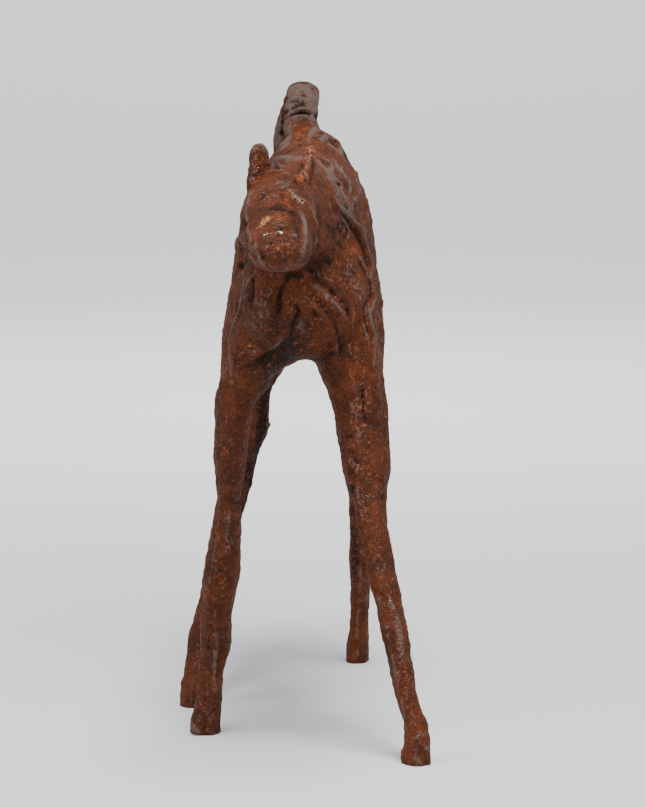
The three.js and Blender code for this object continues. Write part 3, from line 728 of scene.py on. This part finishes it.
# What the skin takes on where the photograph shows it: (reach, strength, points), as above. Orange is
# the rust's own colour; the greyish group is painted sheen on crests, ridges and upward faces; the
# darkening group is mostly painted shade in creases, hollows and under the body, with a few patches of
# darker tone; the golden and pale metal spots are put where glints show, as painted glints; and wet is
# the rust's gloss
paint = {
    "orange": {
        "croup": (16, 0.7, [(289, 145), (299, 136), (306, 126)]),
        "croupTop": (9, 0.6, [(309, 139), (315, 133)]),
        "hip": (8, 0.8, [(335, 147), (337, 156)]),
        "hipInner": (7, 0.6, [(318, 141), (322, 147)]),
        "socket": (9, 1.1, [(285, 196), (293, 203)]),
        "snout": (11, 1.0, [(280, 214), (284, 224)]),
        "jaw": (8, 0.5, [(241, 238), (240, 252)]),
        "snoutLeft": (10, 1.2, [(261, 225), (268, 218)]),
        "muzzle": (9, 0.4, [(268, 250), (298, 251)]),
        "leftEar": (12, 1.2, [(311, 149), (308, 164), (300, 180)]),
        "rightEar": (10, 0.6, [(257, 160), (256, 180)]),
        "shoulder": (9, 0.9, [(347, 245), (352, 250)]),
        "rib": (5, 0.9, [(363, 228), (365, 237)]),
        "shoulderTop": (9, 0.5, [(350, 222), (356, 234)]),
        "cord": (12, 0.6, [(320, 285), (330, 296), (338, 308)]),
        "cordEnd": (8, 0.7, [(353, 307), (354, 320)]),
        "legTop": (8, 0.7, [(353, 336), (354, 350)]),
        "legFront": (8, 0.7, [(359, 356), (366, 369)]),
        "legLow": (7, 0.6, [(351, 373), (353, 379)]),
        "leftUnder": (12, 0.8, [(243, 362), (250, 350), (258, 347)]),
        "legEdge": (8, 0.6, [(373, 371), (374, 373)]),
        "lobe": (9, 0.4, [(288, 290), (288, 322)]),
        "legRoot": (14, 0.5, [(312, 325), (322, 350)]),
        "breast": (10, 0.5, [(268, 290), (268, 330)]),
        "crack": (8, 0.6, [(362, 385), (363, 405), (365, 424)]),
        "knee": (9, 0.5, [(355, 449), (362, 470)]),
        "strap": (8, 0.6, [(360, 545), (368, 565), (376, 585)]),
        "shin": (10, 0.5, [(384, 610), (392, 650)]),
        "rightForearm": (12, 0.5, [(226, 430), (228, 460)]),
        "rightShin": (10, 0.5, [(221, 560), (218, 590)]),
        "cordStart": (9, 0.6, [(300, 282), (311, 294), (318, 302)]),
        "tailRoot": (6, 0.5, [(302, 118), (306, 118)]),
        "hindHoof": (9, 0.6, [(195, 696), (196, 704)]),
        "blade": (14, 0.5, [(338, 268), (346, 290)]),
    },
    # Painted sheen: greyish where light catches crests, ridges, upward faces and the tail
    "greySheen": {
        "crestRoll": (14, 0.9, [(276, 163), (290, 159), (303, 156)]),
        "tailTop": (20, 1.7, [(290, 91), (303, 90), (314, 92), (316, 104)]),
        "tailHook": (16, 1.4, [(292, 100), (310, 106)]),
        "tailFlap": (12, 1.2, [(278, 126), (278, 142)]),
        "tailBand": (16, 1.4, [(284, 124), (298, 114), (314, 116)]),
        "neckTop": (12, 0.6, [(316, 170), (326, 178)]),
        "hipArc": (9, 0.8, [(326, 134), (336, 142), (341, 152)]),
        "ridgeTwo": (8, 0.6, [(334, 160), (343, 176), (350, 196)]),
        "main": (7, 0.8, [(337, 197), (345, 208.5), (351.5, 217), (358, 226), (363.5, 235), (367, 245),
                          (369.5, 257), (371, 270)]),
        "mainLow": (5, 0.8, [(369, 256), (371, 284), (372, 312)]),
        "mainFork": (5, 0.6, [(372, 328), (375, 350), (374, 366)]),
        "forehead": (12, 0.6, [(262, 190), (276, 184), (292, 190)]),
        "snoutSide": (7, 0.2, [(303, 214), (304.5, 235), (302, 256)]),
        "faceLeft": (5, 0.3, [(254, 192), (249, 204), (248, 220), (251, 245)]),
        "chin": (9, 0.6, [(260, 262), (280, 268), (298, 262)]),
        "lip": (5, 0.8, [(255, 246), (258, 256), (263, 264)]),
        "leftLine": (6, 0.6, [(243, 274), (242, 296), (237, 316), (231, 336), (231, 370)]),
        "flank": (9, 0.5, [(355, 180), (358, 194)]),
        "neckSide": (30, 1.3, [(322, 162), (334, 182), (344, 204)]),
        "hip": (24, 1.3, [(322, 138), (334, 138), (341, 154)]),
        "croupLeft": (14, 1.2, [(288, 128), (284, 148)]),
        "croupRight": (12, 1.1, [(318, 121), (312, 134)]),
        "jawEdge": (4, 0.8, [(240, 232), (236.5, 240), (235.5, 250), (238, 260)]),
        "brow": (5, 0.3, [(308, 204), (312, 214), (314, 232), (311, 256)]),
    },
    # Mostly painted shade: creases, pits, hollows, under ledges, the inner faces of the legs and under the
    # body, with a few patches of darker tone on the tail, neck and ear tip
    "shadeAndDark": {
        "tail": (30, 0.6, [(284, 122), (296, 102), (308, 94)]),
        "neckPatch": (11, 0.45, [(337, 225), (345, 232)]),
        "leftPanel": (9, 0.6, [(250, 278), (250, 308)]),
        "snoutBand": (9, 1.4, [(260, 210), (278, 206.5), (296, 212)]),
        "snoutSide": (7, 1.4, [(297.5, 215), (298, 236)]),
        "snoutMiddle": (7, 0.9, [(279, 236), (276, 222), (272, 213)]),
        "underLedge": (7, 1.3, [(262, 241), (282, 241), (299, 240)]),
        "rightEarTip": (8, 0.9, [(256, 146), (261, 146)]),
        "leftSocket": (5, 0.7, [(256, 200), (261, 198)]),
        "jawLine": (5, 1.4, [(246, 229), (246.6, 240), (246, 250), (244.5, 262)]),
        "jawBottom": (6, 0.4, [(239, 266), (245, 267)]),
        "belly": (14, 0.85, [(266, 366), (282, 358), (294, 346)]),
        "leftBreast": (26, 0.3, [(262, 285), (264, 328)]),
        "lobeEnd": (12, 0.5, [(284, 322), (292, 332)]),
        "cleftLeft": (5, 0.25, [(284, 284), (279, 298), (278, 314)]),
        "cordEnd": (4, 0.6, [(346, 308), (349, 317)]),
        "crack": (3, 0.8, [(362, 382), (363, 400), (365, 424)]),
        "kneePit": (4, 0.8, [(356, 462), (358, 463)]),
        "elbowPit": (5, 0.8, [(375, 326), (378, 334)]),
        "ridgeGroove": (7, 0.6, [(334, 183), (338, 200)]),
        "rightThigh": (12, 0.7, [(265, 385), (262, 405)]),
        "rightHindLeg": (17, 1.1, [(263, 398), (262, 430), (257, 452), (251, 478), (246, 495), (242, 509)]),
        "leftHindLeg": (10, 1.0, [(350.5, 470), (351, 490), (352, 510), (353, 530), (354, 552),
                                  (355, 574)]),
        "earCrease": (7, 0.7, [(295, 181), (303, 187)]),
        "pocket": (7, 0.6, [(276, 169), (278, 170)]),
        "crotch": (10, 0.6, [(294, 338), (300, 348)]),
        "legPlane": (5, 0.7, [(361, 344), (365, 355)]),
        "cordGroove": (8, 0.3, [(330, 278), (340, 288)]),
        "throat": (8, 0.4, [(306, 250), (316, 262)]),
        "behindCrest": (7, 0.9, [(281, 153), (290, 148), (302, 144)]),
        "neckLow": (12, 0.3, [(330, 232), (342, 240)]),
        "neckSide": (30, 0.35, [(324, 166), (336, 186), (346, 206)]),
        "hip": (24, 0.35, [(322, 138), (334, 138), (341, 154)]),
    },
    # Painted glints: golden metal spots where sparkles show
    "goldGlint": {
        "snoutLeft": (9, 1.1, [(261, 226), (267, 218)]),
        "brow": (4, 0.9, [(289, 190), (297, 199), (304, 204)]),
        "leftEar": (6, 0.6, [(310, 150), (309, 158)]),
        "socket": (5, 0.5, [(292, 202), (286, 199)]),
    },
    # Painted glints: pale metal spots where white glints show
    "bare": {
        "snoutLedge": (3.4, 1.2, [(265, 234.5), (279, 234), (296, 235.5)]),
        "snoutTip": (4, 3.0, [(278.5, 233.5), (281.5, 234)]),
        "cord": (3.4, 0.8, [(330, 296), (336, 303), (342, 310)]),
        "rightPad": (3, 0.9, [(298, 327), (303, 324)]),
        "leftBreast": (3, 0.8, [(265, 294), (270, 290)]),
        "shoulder": (3.4, 0.7, [(352, 283), (357, 294)]),
        "leftPad": (3, 0.7, [(250, 353), (256, 351)]),
        "shinGlint": (3, 0.6, [(390, 604), (397, 622), (401, 642)]),
    },
    "wet": {
        "shoulder": (18, 0.8, [(350, 272), (358, 288), (366, 304)]),
        "leftBreast": (14, 0.5, [(262, 300), (262, 320)]),
        "leftEar": (11, 0.9, [(311, 149), (308, 164), (301, 179)]),
        "snoutLedge": (4, 1.3, [(266, 234), (280, 233.5), (296, 235)]),
        "snoutLeft": (8, 1.2, [(261, 226), (269, 219)]),
        "cord": (8, 1.3, [(328, 294), (336, 304), (342, 311)]),
        "shoulderEdge": (10, 0.7, [(352, 276), (358, 292)]),
        "leftPad": (9, 0.8, [(247, 350), (258, 350)]),
        "rightPad": (5, 0.9, [(298, 327), (303, 324)]),
        "breastSpot": (5, 0.8, [(266, 294), (271, 291)]),
        "shinGlint": (5, 0.8, [(390, 602), (396, 622), (400, 640), (402, 655)]),
        "rightShinLine": (5, 0.6, [(229, 519), (229, 550)]),
        "rightShinLow": (5, 0.6, [(216, 650), (214, 690)]),
        "brow": (4, 1.0, [(289, 190), (297, 199), (304, 204)]),
        "rightEar": (5, 0.6, [(255, 162), (252, 182)]),
        "forearm": (5, 0.5, [(356, 400), (358, 440)]),
    },
}
# Painted sheen along the crest and ridge strokes too
sheenFilm = {"ridge": (0.6, 0.75), "crest": (0.8, 0.45)}  # grey on the strokes: share of their reach, strength


def paintSkin(mesh):
    points = readPoints(mesh)
    for name, group in paint.items():
        amount = np.zeros(len(points))
        group = list(group.values())
        if name == "greySheen":
            group += [(reach * share, strength, line) for shape, (share, strength) in sheenFilm.items()
                      for reach, rise, line in strokes["photo"][shape].values()]
        for reach, strength, line in group:
            line = strokeLine(baseTree, "photo", line)
            if len(line) > 1:
                near, weight = strokeHeights(points, line, reach / 1000, "lump", 0, np.array((0, -1, 0)))
                amount[near] = np.maximum(amount[near], strength * weight)
        addAttribute(mesh, name, "FLOAT", "POINT", amount.astype(np.float32))


paintSkin(whole)
print("paint done")

# How deep each point lies below or above the skin around it, and how much it faces the floor: the
# painted shade in hollows, folds and undersides follows these, and the painted sheen keeps out of them
shadeDepth = {
    "fineRounds": 9, "fineDepth": 0.0008,
    "broadRounds": 45, "broadDepth": 0.0022,
    "keep": 0.3,  # how much of its place a point keeps in each round
    "shadeRounds": 2,
}


def depthsOf(mesh):
    points = readPoints(mesh)
    normals = readNormals(mesh)
    edges = readAll(mesh.edges, "vertices", 2, np.int64)
    ends = np.concatenate([edges[:, 0], edges[:, 1]])
    others = np.concatenate([edges[:, 1], edges[:, 0]])
    count = np.maximum(np.bincount(ends, minlength=len(points)), 1)

    def around(values):
        # The mean of each point's neighbours
        return np.bincount(ends, values[others], len(points)) / count

    def aroundEach(vectors):
        return np.stack([around(vectors[:, axis]) for axis in range(3)], axis=1)

    smooth = points.copy()
    depths = {}
    for turn in range(1, shadeDepth["broadRounds"] + 1):
        smooth = shadeDepth["keep"] * smooth + (1 - shadeDepth["keep"]) * aroundEach(smooth)
        if turn == shadeDepth["fineRounds"]:
            depths["fold"] = ((smooth - points) * normals).sum(1) / shadeDepth["fineDepth"]
    depths["hollow"] = ((smooth - points) * normals).sum(1) / shadeDepth["broadDepth"]
    # Faces turned to the floor take painted shade and less gloss
    depths["under"] = -normals[:, 2]  # how much it faces the floor
    shade = normals
    for turn in range(shadeDepth["shadeRounds"]):
        depths["fold"] = (depths["fold"] + around(depths["fold"])) / 2
        shade = shade + aroundEach(shade)
        shade /= np.linalg.norm(shade, axis=1, keepdims=True)
    return {name: np.clip(depth, -1, 1) for name, depth in depths.items()}, shade


depths, shading = depthsOf(whole)
print("depths done")


# Materials
def setInput(node, name, value):
    node.inputs[name].default_value = value


def noiseNode(tree, coords, scale, detail, roughness, offset=None):
    node = tree.nodes.new("ShaderNodeTexNoise")
    setInput(node, "Scale", scale)
    setInput(node, "Detail", detail)
    setInput(node, "Roughness", roughness)
    if offset:
        place = tree.nodes.new("ShaderNodeMapping")
        setInput(place, "Location", offset)
        tree.links.new(coords, place.inputs["Vector"])
        coords = place.outputs["Vector"]
    tree.links.new(coords, node.inputs["Vector"])
    return node.outputs["Fac"]


def rangeNode(tree, value, low, high, outLow=0.0, outHigh=1.0):
    node = tree.nodes.new("ShaderNodeMapRange")
    node.interpolation_type = "SMOOTHSTEP"
    setInput(node, "From Min", low)
    setInput(node, "From Max", high)
    setInput(node, "To Min", outLow)
    setInput(node, "To Max", outHigh)
    tree.links.new(value, node.inputs["Value"])
    return node.outputs["Result"]


def mathNode(tree, operation, first, second):
    node = tree.nodes.new("ShaderNodeMath")
    node.operation = operation
    for socket, value in zip(node.inputs, (first, second)):
        if isinstance(value, (int, float)):
            socket.default_value = value
        else:
            tree.links.new(value, socket)
    return node.outputs["Value"]


def mixColour(tree, share, first, second):
    node = tree.nodes.new("ShaderNodeMix")
    node.data_type = "RGBA"
    tree.links.new(share, node.inputs["Factor"])
    for socket, value in ((node.inputs["A"], first), (node.inputs["B"], second)):
        if isinstance(value, tuple):
            socket.default_value = (*value, 1)
        else:
            tree.links.new(value, socket)
    return node.outputs["Result"]


def attributeNode(tree, name):
    node = tree.nodes.new("ShaderNodeAttribute")
    node.attribute_name = name
    return node.outputs["Fac"]


def newMaterial(name):
    material = bpy.data.materials.new(name)
    material.use_nodes = True
    tree = material.node_tree
    shader = tree.nodes["Principled BSDF"]
    coords = tree.nodes.new("ShaderNodeTexCoord").outputs["Object"]
    return material, tree, shader, coords


# The rust's patterns, and the layers of colour laid over the brown one after the other: red and orange
# rust, greyish painted sheen, blackish pits with painted shade, and metal spots for painted glints. What
# counts for a layer is a sum of patterns and paints, each times its weight under "of". Over its range
# (from, to, least, most) the layer then grows from least to most
rust = {
    "noises": {
        "broad": {"scale": 24, "detail": 4, "roughness": 0.6},
        "patches": {"scale": 75, "detail": 5, "roughness": 0.66, "offset": (3.1, 1.7, 0.4)},
        # This pattern spreads the painted greyish sheen at random
        "sheenFilm": {"scale": 130, "detail": 5, "roughness": 0.7, "offset": (6.3, 0.9, 7.7)},
        "pebbles": {"scale": 310, "detail": 3, "roughness": 0.62, "offset": (0.7, 5.2, 2.2)},
        "grain": {"scale": 620, "detail": 2, "roughness": 0.6},
    },
    "height": {"pebbles": 0.65, "grain": 0.35},
    "brown": (0.0535, 0.0140, 0.0048),
    "layers": {
        "red": {
            "colour": (0.112, 0.0252, 0.0064), "range": (0.47, 0.69, 0, 1),
            "of": {"broad": 0.5, "patches": 0.4, "height": 0.25},
        },
        "orange": {
            "colour": (0.285, 0.0690, 0.0135), "range": (0.79, 1.02, 0, 1),
            "of": {"patches": 0.6, "height": 0.8, "orange": 0.17},
        },
        # Painted sheen: greyish on crests, pebble tops and upward faces, less in hollows, folds and on faces
        # turned down
        "greySheen": {
            "colour": (0.112, 0.077, 0.062), "range": (0.72, 1.08, 0, 0.85),
            "of": {"sheenFilm": 0.5, "height": 0.6, "hollow": -0.12, "fold": -0.30, "under": -0.05, "greySheen": 0.36,
                   "orange": -0.12},
        },
        # Blackish pits of the grain, with painted shade in hollows, folds, the painted shade places and on
        # faces turned to the floor
        "pitsAndShade": {
            "colour": (0.0105, 0.0050, 0.0036), "range": (-0.75, -0.17, 0, 0.92),
            "of": {"height": -1.5, "hollow": 0.25, "fold": 0.38, "shadeAndDark": 0.5, "under": 0.34},
        },
        # Golden and pale metal spots set where glints show: painted glints
        "goldGlint": {
            "colour": (0.62, 0.29, 0.07), "range": (0.78, 0.84, 0, 1),
            "of": {"goldGlint": 0.25, "grain": 1.0},
        },
        "bare": {
            "colour": (0.80, 0.77, 0.72), "range": (0.78, 0.83, 0, 1),
            "of": {"bare": 0.25, "grain": 1.0},
        },
    },
    "roughness": {"range": (0.38, 0.56, 0.72, 0.34), "of": {"height": 1.0, "slant": -0.15}},
    "coat": {
        "range": (0.52, 0.62, 0, 1),
        "of": {"wet": 0.15, "height": 1.0, "floorward": -0.12, "slant": -0.16},
    },
    "specular": 0.12, "coatRoughness": 0.13,
    "bump": 1.0, "bumpDepth": 0.0032,
}


def makeRust():
    material, tree, shader, coords = newMaterial("rustedIron")
    patterns = {name: noiseNode(tree, coords, **settings) for name, settings in rust["noises"].items()}
    for name in [*depths, *paint]:
        patterns[name] = attributeNode(tree, name)
    patterns["slant"] = tree.nodes.new("ShaderNodeLayerWeight").outputs["Facing"]
    patterns["floorward"] = mathNode(tree, "MAXIMUM", patterns["under"], 0.0)

    def plus(weights):
        # The sum of the named patterns, each times its weight
        total = None
        for name, weight in weights.items():
            part = mathNode(tree, "MULTIPLY", patterns[name], weight)
            total = part if total is None else mathNode(tree, "ADD", total, part)
        return total

    def grown(layer):
        return rangeNode(tree, plus(layer["of"]), *layer["range"])

    patterns["height"] = plus(rust["height"])
    colour = rust["brown"]
    shares = {}
    for name, layer in rust["layers"].items():
        shares[name] = grown(layer)
        colour = mixColour(tree, shares[name], colour, layer["colour"])
    tree.links.new(colour, shader.inputs["Base Color"])
    # The painted glints are metal
    tree.links.new(mathNode(tree, "MAXIMUM", shares["goldGlint"], shares["bare"]), shader.inputs["Metallic"])
    tree.links.new(grown(rust["roughness"]), shader.inputs["Roughness"])
    tree.links.new(grown(rust["coat"]), shader.inputs["Coat Weight"])
    setInput(shader, "Coat Roughness", rust["coatRoughness"])
    setInput(shader, "Specular IOR Level", rust["specular"])
    bump = tree.nodes.new("ShaderNodeBump")
    setInput(bump, "Strength", rust["bump"])
    setInput(bump, "Distance", rust["bumpDepth"])
    tree.links.new(patterns["height"], bump.inputs["Height"])
    tree.links.new(bump.outputs["Normal"], shader.inputs["Normal"])
    tree.links.new(bump.outputs["Normal"], shader.inputs["Coat Normal"])
    return material


steel = {
    "colour": (0.42, 0.43, 0.44), "dull": (0.24, 0.22, 0.20), "metallic": 0.9,
    "stain": {"scale": 90, "detail": 4, "roughness": 0.6},
    "dullRange": (0.45, 0.7),
    "roughRange": (0.3, 0.7, 0.38, 0.63),
}


def makeSteel():
    material, tree, shader, coords = newMaterial("joinerySteel")
    stain = noiseNode(tree, coords, **steel["stain"])
    colour = mixColour(tree, rangeNode(tree, stain, *steel["dullRange"]), steel["colour"], steel["dull"])
    tree.links.new(colour, shader.inputs["Base Color"])
    tree.links.new(rangeNode(tree, stain, *steel["roughRange"]), shader.inputs["Roughness"])
    setInput(shader, "Metallic", steel["metallic"])
    return material


rustMaterial = makeRust()
steelMaterial = makeSteel()


# The castings, each cut from the whole skin at its seams and capped inside
def cutCasting(number, name):
    bm = bmesh.new()
    bm.from_mesh(whole)
    layer = bm.faces.layers.int["casting"]
    bmesh.ops.delete(bm, geom=[face for face in bm.faces if face[layer] != number], context="FACES")
    pinched = [vert for vert in bm.verts if sum(edge.is_boundary for edge in vert.link_edges) > 2]
    for vert in pinched:
        bmesh.utils.vert_separate(vert, [])
    rim = [edge for edge in bm.edges if edge.is_boundary]
    caps = bmesh.ops.holes_fill(bm, edges=rim)["faces"]
    caps += [face for face in bm.faces
             if face[layer] == number and max(vert.co.z for vert in face.verts) < skin["onFloor"]]
    for cap in caps:
        cap.smooth = False
        cap[layer] = -1
    bmesh.ops.triangulate(bm, faces=caps, ngon_method="EAR_CLIP")
    # A cap's triangle that lies on one of the skin goes, with the one under it
    seen = {}
    for face in bm.faces:
        seen.setdefault(frozenset(face.verts), []).append(face)
    doubled = [face for pair in seen.values() if len(pair) > 1 for face in pair]
    bmesh.ops.delete(bm, geom=doubled, context="FACES")
    return linked(meshFrom(bm, name), name + "_casting")


def keepShading(piece):
    # The skin's own shading runs on over the seams, and the closed ends are flat
    mesh = piece.data
    smooth = readAll(mesh.attributes["shade"].data, "vector", 3)
    flat = readAll(mesh.polygons, "normal", 3)
    sizes = readAll(mesh.polygons, "loop_total", kind=np.int64)
    inCap = np.repeat(readAll(mesh.attributes["casting"].data, "value", kind=np.int32) < 0, sizes)
    normals = smooth[readAll(mesh.loops, "vertex_index", kind=np.int64)]
    normals[inCap] = np.repeat(flat, sizes, axis=0)[inCap]
    mesh.normals_split_custom_set(normals)
    for name in ("shade", "casting"):
        mesh.attributes.remove(mesh.attributes[name])


for name, depth in depths.items():
    addAttribute(whole, name, "FLOAT", "POINT", depth.astype(np.float32))
addAttribute(whole, "shade", "FLOAT_VECTOR", "POINT", shading, field="vector")

for number, name in enumerate(castings):
    piece = cutCasting(number, name)
    keepShading(piece)
    piece.data.materials.append(rustMaterial)
    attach(piece, "root")
    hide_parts(name)
print("castings done")

# The plug that closes the core hole in the belly, dressed almost flush
plug = {"radius": 0.0140, "proud": 0.0005, "depth": 0.004, "sides": 40, "rings": 6}


def makePlug():
    low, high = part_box("belly_plug")
    middle = Vector(((low[0] + high[0]) / 2, (low[1] + high[1]) / 2, 0))
    tree = skinTree(whole)
    bm = bmesh.new()
    bmesh.ops.create_circle(bm, cap_ends=True, radius=plug["radius"], segments=plug["sides"])
    for step in range(plug["rings"]):
        bmesh.ops.inset_region(bm, faces=bm.faces[-1:], thickness=plug["radius"] / (plug["rings"] + 1))
        bm.faces.ensure_lookup_table()
    bmesh.ops.translate(bm, verts=bm.verts, vec=middle)
    for vert in bm.verts:
        hit = tree.ray_cast(Vector((vert.co.x, vert.co.y, 0)), Vector((0, 0, 1)))[0]
        vert.co.z = hit.z - plug["proud"]
    bmesh.ops.solidify(bm, geom=bm.faces[:], thickness=plug["depth"])
    bmesh.ops.recalc_face_normals(bm, faces=bm.faces[:])
    for face in bm.faces:
        face.smooth = True
    return linked(meshFrom(bm, "plug"), "belly_plug_cap")


plugPiece = makePlug()
plugPiece.data.materials.append(rustMaterial)
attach(plugPiece, "root")
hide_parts("belly_plug")
print("plug done")

for name, node in nodes.items():
    if name.endswith(("_dowel", "_pin", "_ring")):
        for place in node.material_slots:
            place.material = steelMaterial
        if not node.material_slots:
            node.data.materials.append(steelMaterial)
print("joinery dressed")

# Pale floor that rises softly far behind, and soft studio light
studio = {
    "floor": (0.78, 0.78, 0.78), "roughness": 0.8,
    "sweep": [(0.0, 0.0), (3.0, 0.0), (5.6, 0.0), (6.6, 0.10), (7.4, 0.38), (7.9, 0.85), (8.1, 1.5),
              (8.15, 2.2)],
    "turns": 96, "weld": 1e-5,
    "world": (0.93, 0.965, 1.0), "worldStrength": 0.74,
    "lights": {
        "overhead": {"place": (0.2, -0.7, 3.0), "size": 1.2, "power": 105},
        "front": {"place": (1.2, -3.4, 3.0), "size": 0.7, "power": 30},
        "side": {"place": (-2.8, -1.0, 2.2), "size": 1.6, "power": 22},
        "backdrop": {"place": (0.0, 2.4, 3.4), "size": 3.0, "power": 260, "aim": (0.0, 8.0, 0.3)},
    },
    "aim": (0.0, -0.1, 0.4),
}


def makeStudio():
    bm = bmesh.new()
    line = [bm.verts.new((radius, 0, height)) for radius, height in studio["sweep"]]
    edges = [bm.edges.new(pair) for pair in zip(line, line[1:])]
    bmesh.ops.spin(bm, geom=line + edges, cent=(0, 0, 0), axis=(0, 0, 1), angle=math.tau,
                   steps=studio["turns"], use_merge=True)
    bmesh.ops.remove_doubles(bm, verts=bm.verts, dist=studio["weld"])
    bmesh.ops.recalc_face_normals(bm, faces=bm.faces[:])
    if sum(face.normal.z for face in bm.faces) < 0:
        bmesh.ops.reverse_faces(bm, faces=bm.faces[:])
    for face in bm.faces:
        face.smooth = True
    floor = linked(meshFrom(bm, "floor"), "floor")
    material, _, shader, _ = newMaterial("paleFloor")
    setInput(shader, "Base Color", (*studio["floor"], 1))
    setInput(shader, "Roughness", studio["roughness"])
    floor.data.materials.append(material)
    world = bpy.data.worlds.new("studio")
    world.use_nodes = True
    background = world.node_tree.nodes["Background"]
    setInput(background, "Color", (*studio["world"], 1))
    setInput(background, "Strength", studio["worldStrength"])
    scene.world = world
    for name, light in studio["lights"].items():
        data = bpy.data.lights.new(name, "AREA")
        data.shape = "DISK"
        data.size = light["size"]
        data.energy = light["power"]
        lamp = bpy.data.objects.new(name, data)
        lamp.location = light["place"]
        way = Vector(light.get("aim", studio["aim"])) - lamp.location
        lamp.rotation_euler = way.to_track_quat("-Z", "Y").to_euler()
        scene.collection.objects.link(lamp)


makeStudio()
print("studio done")
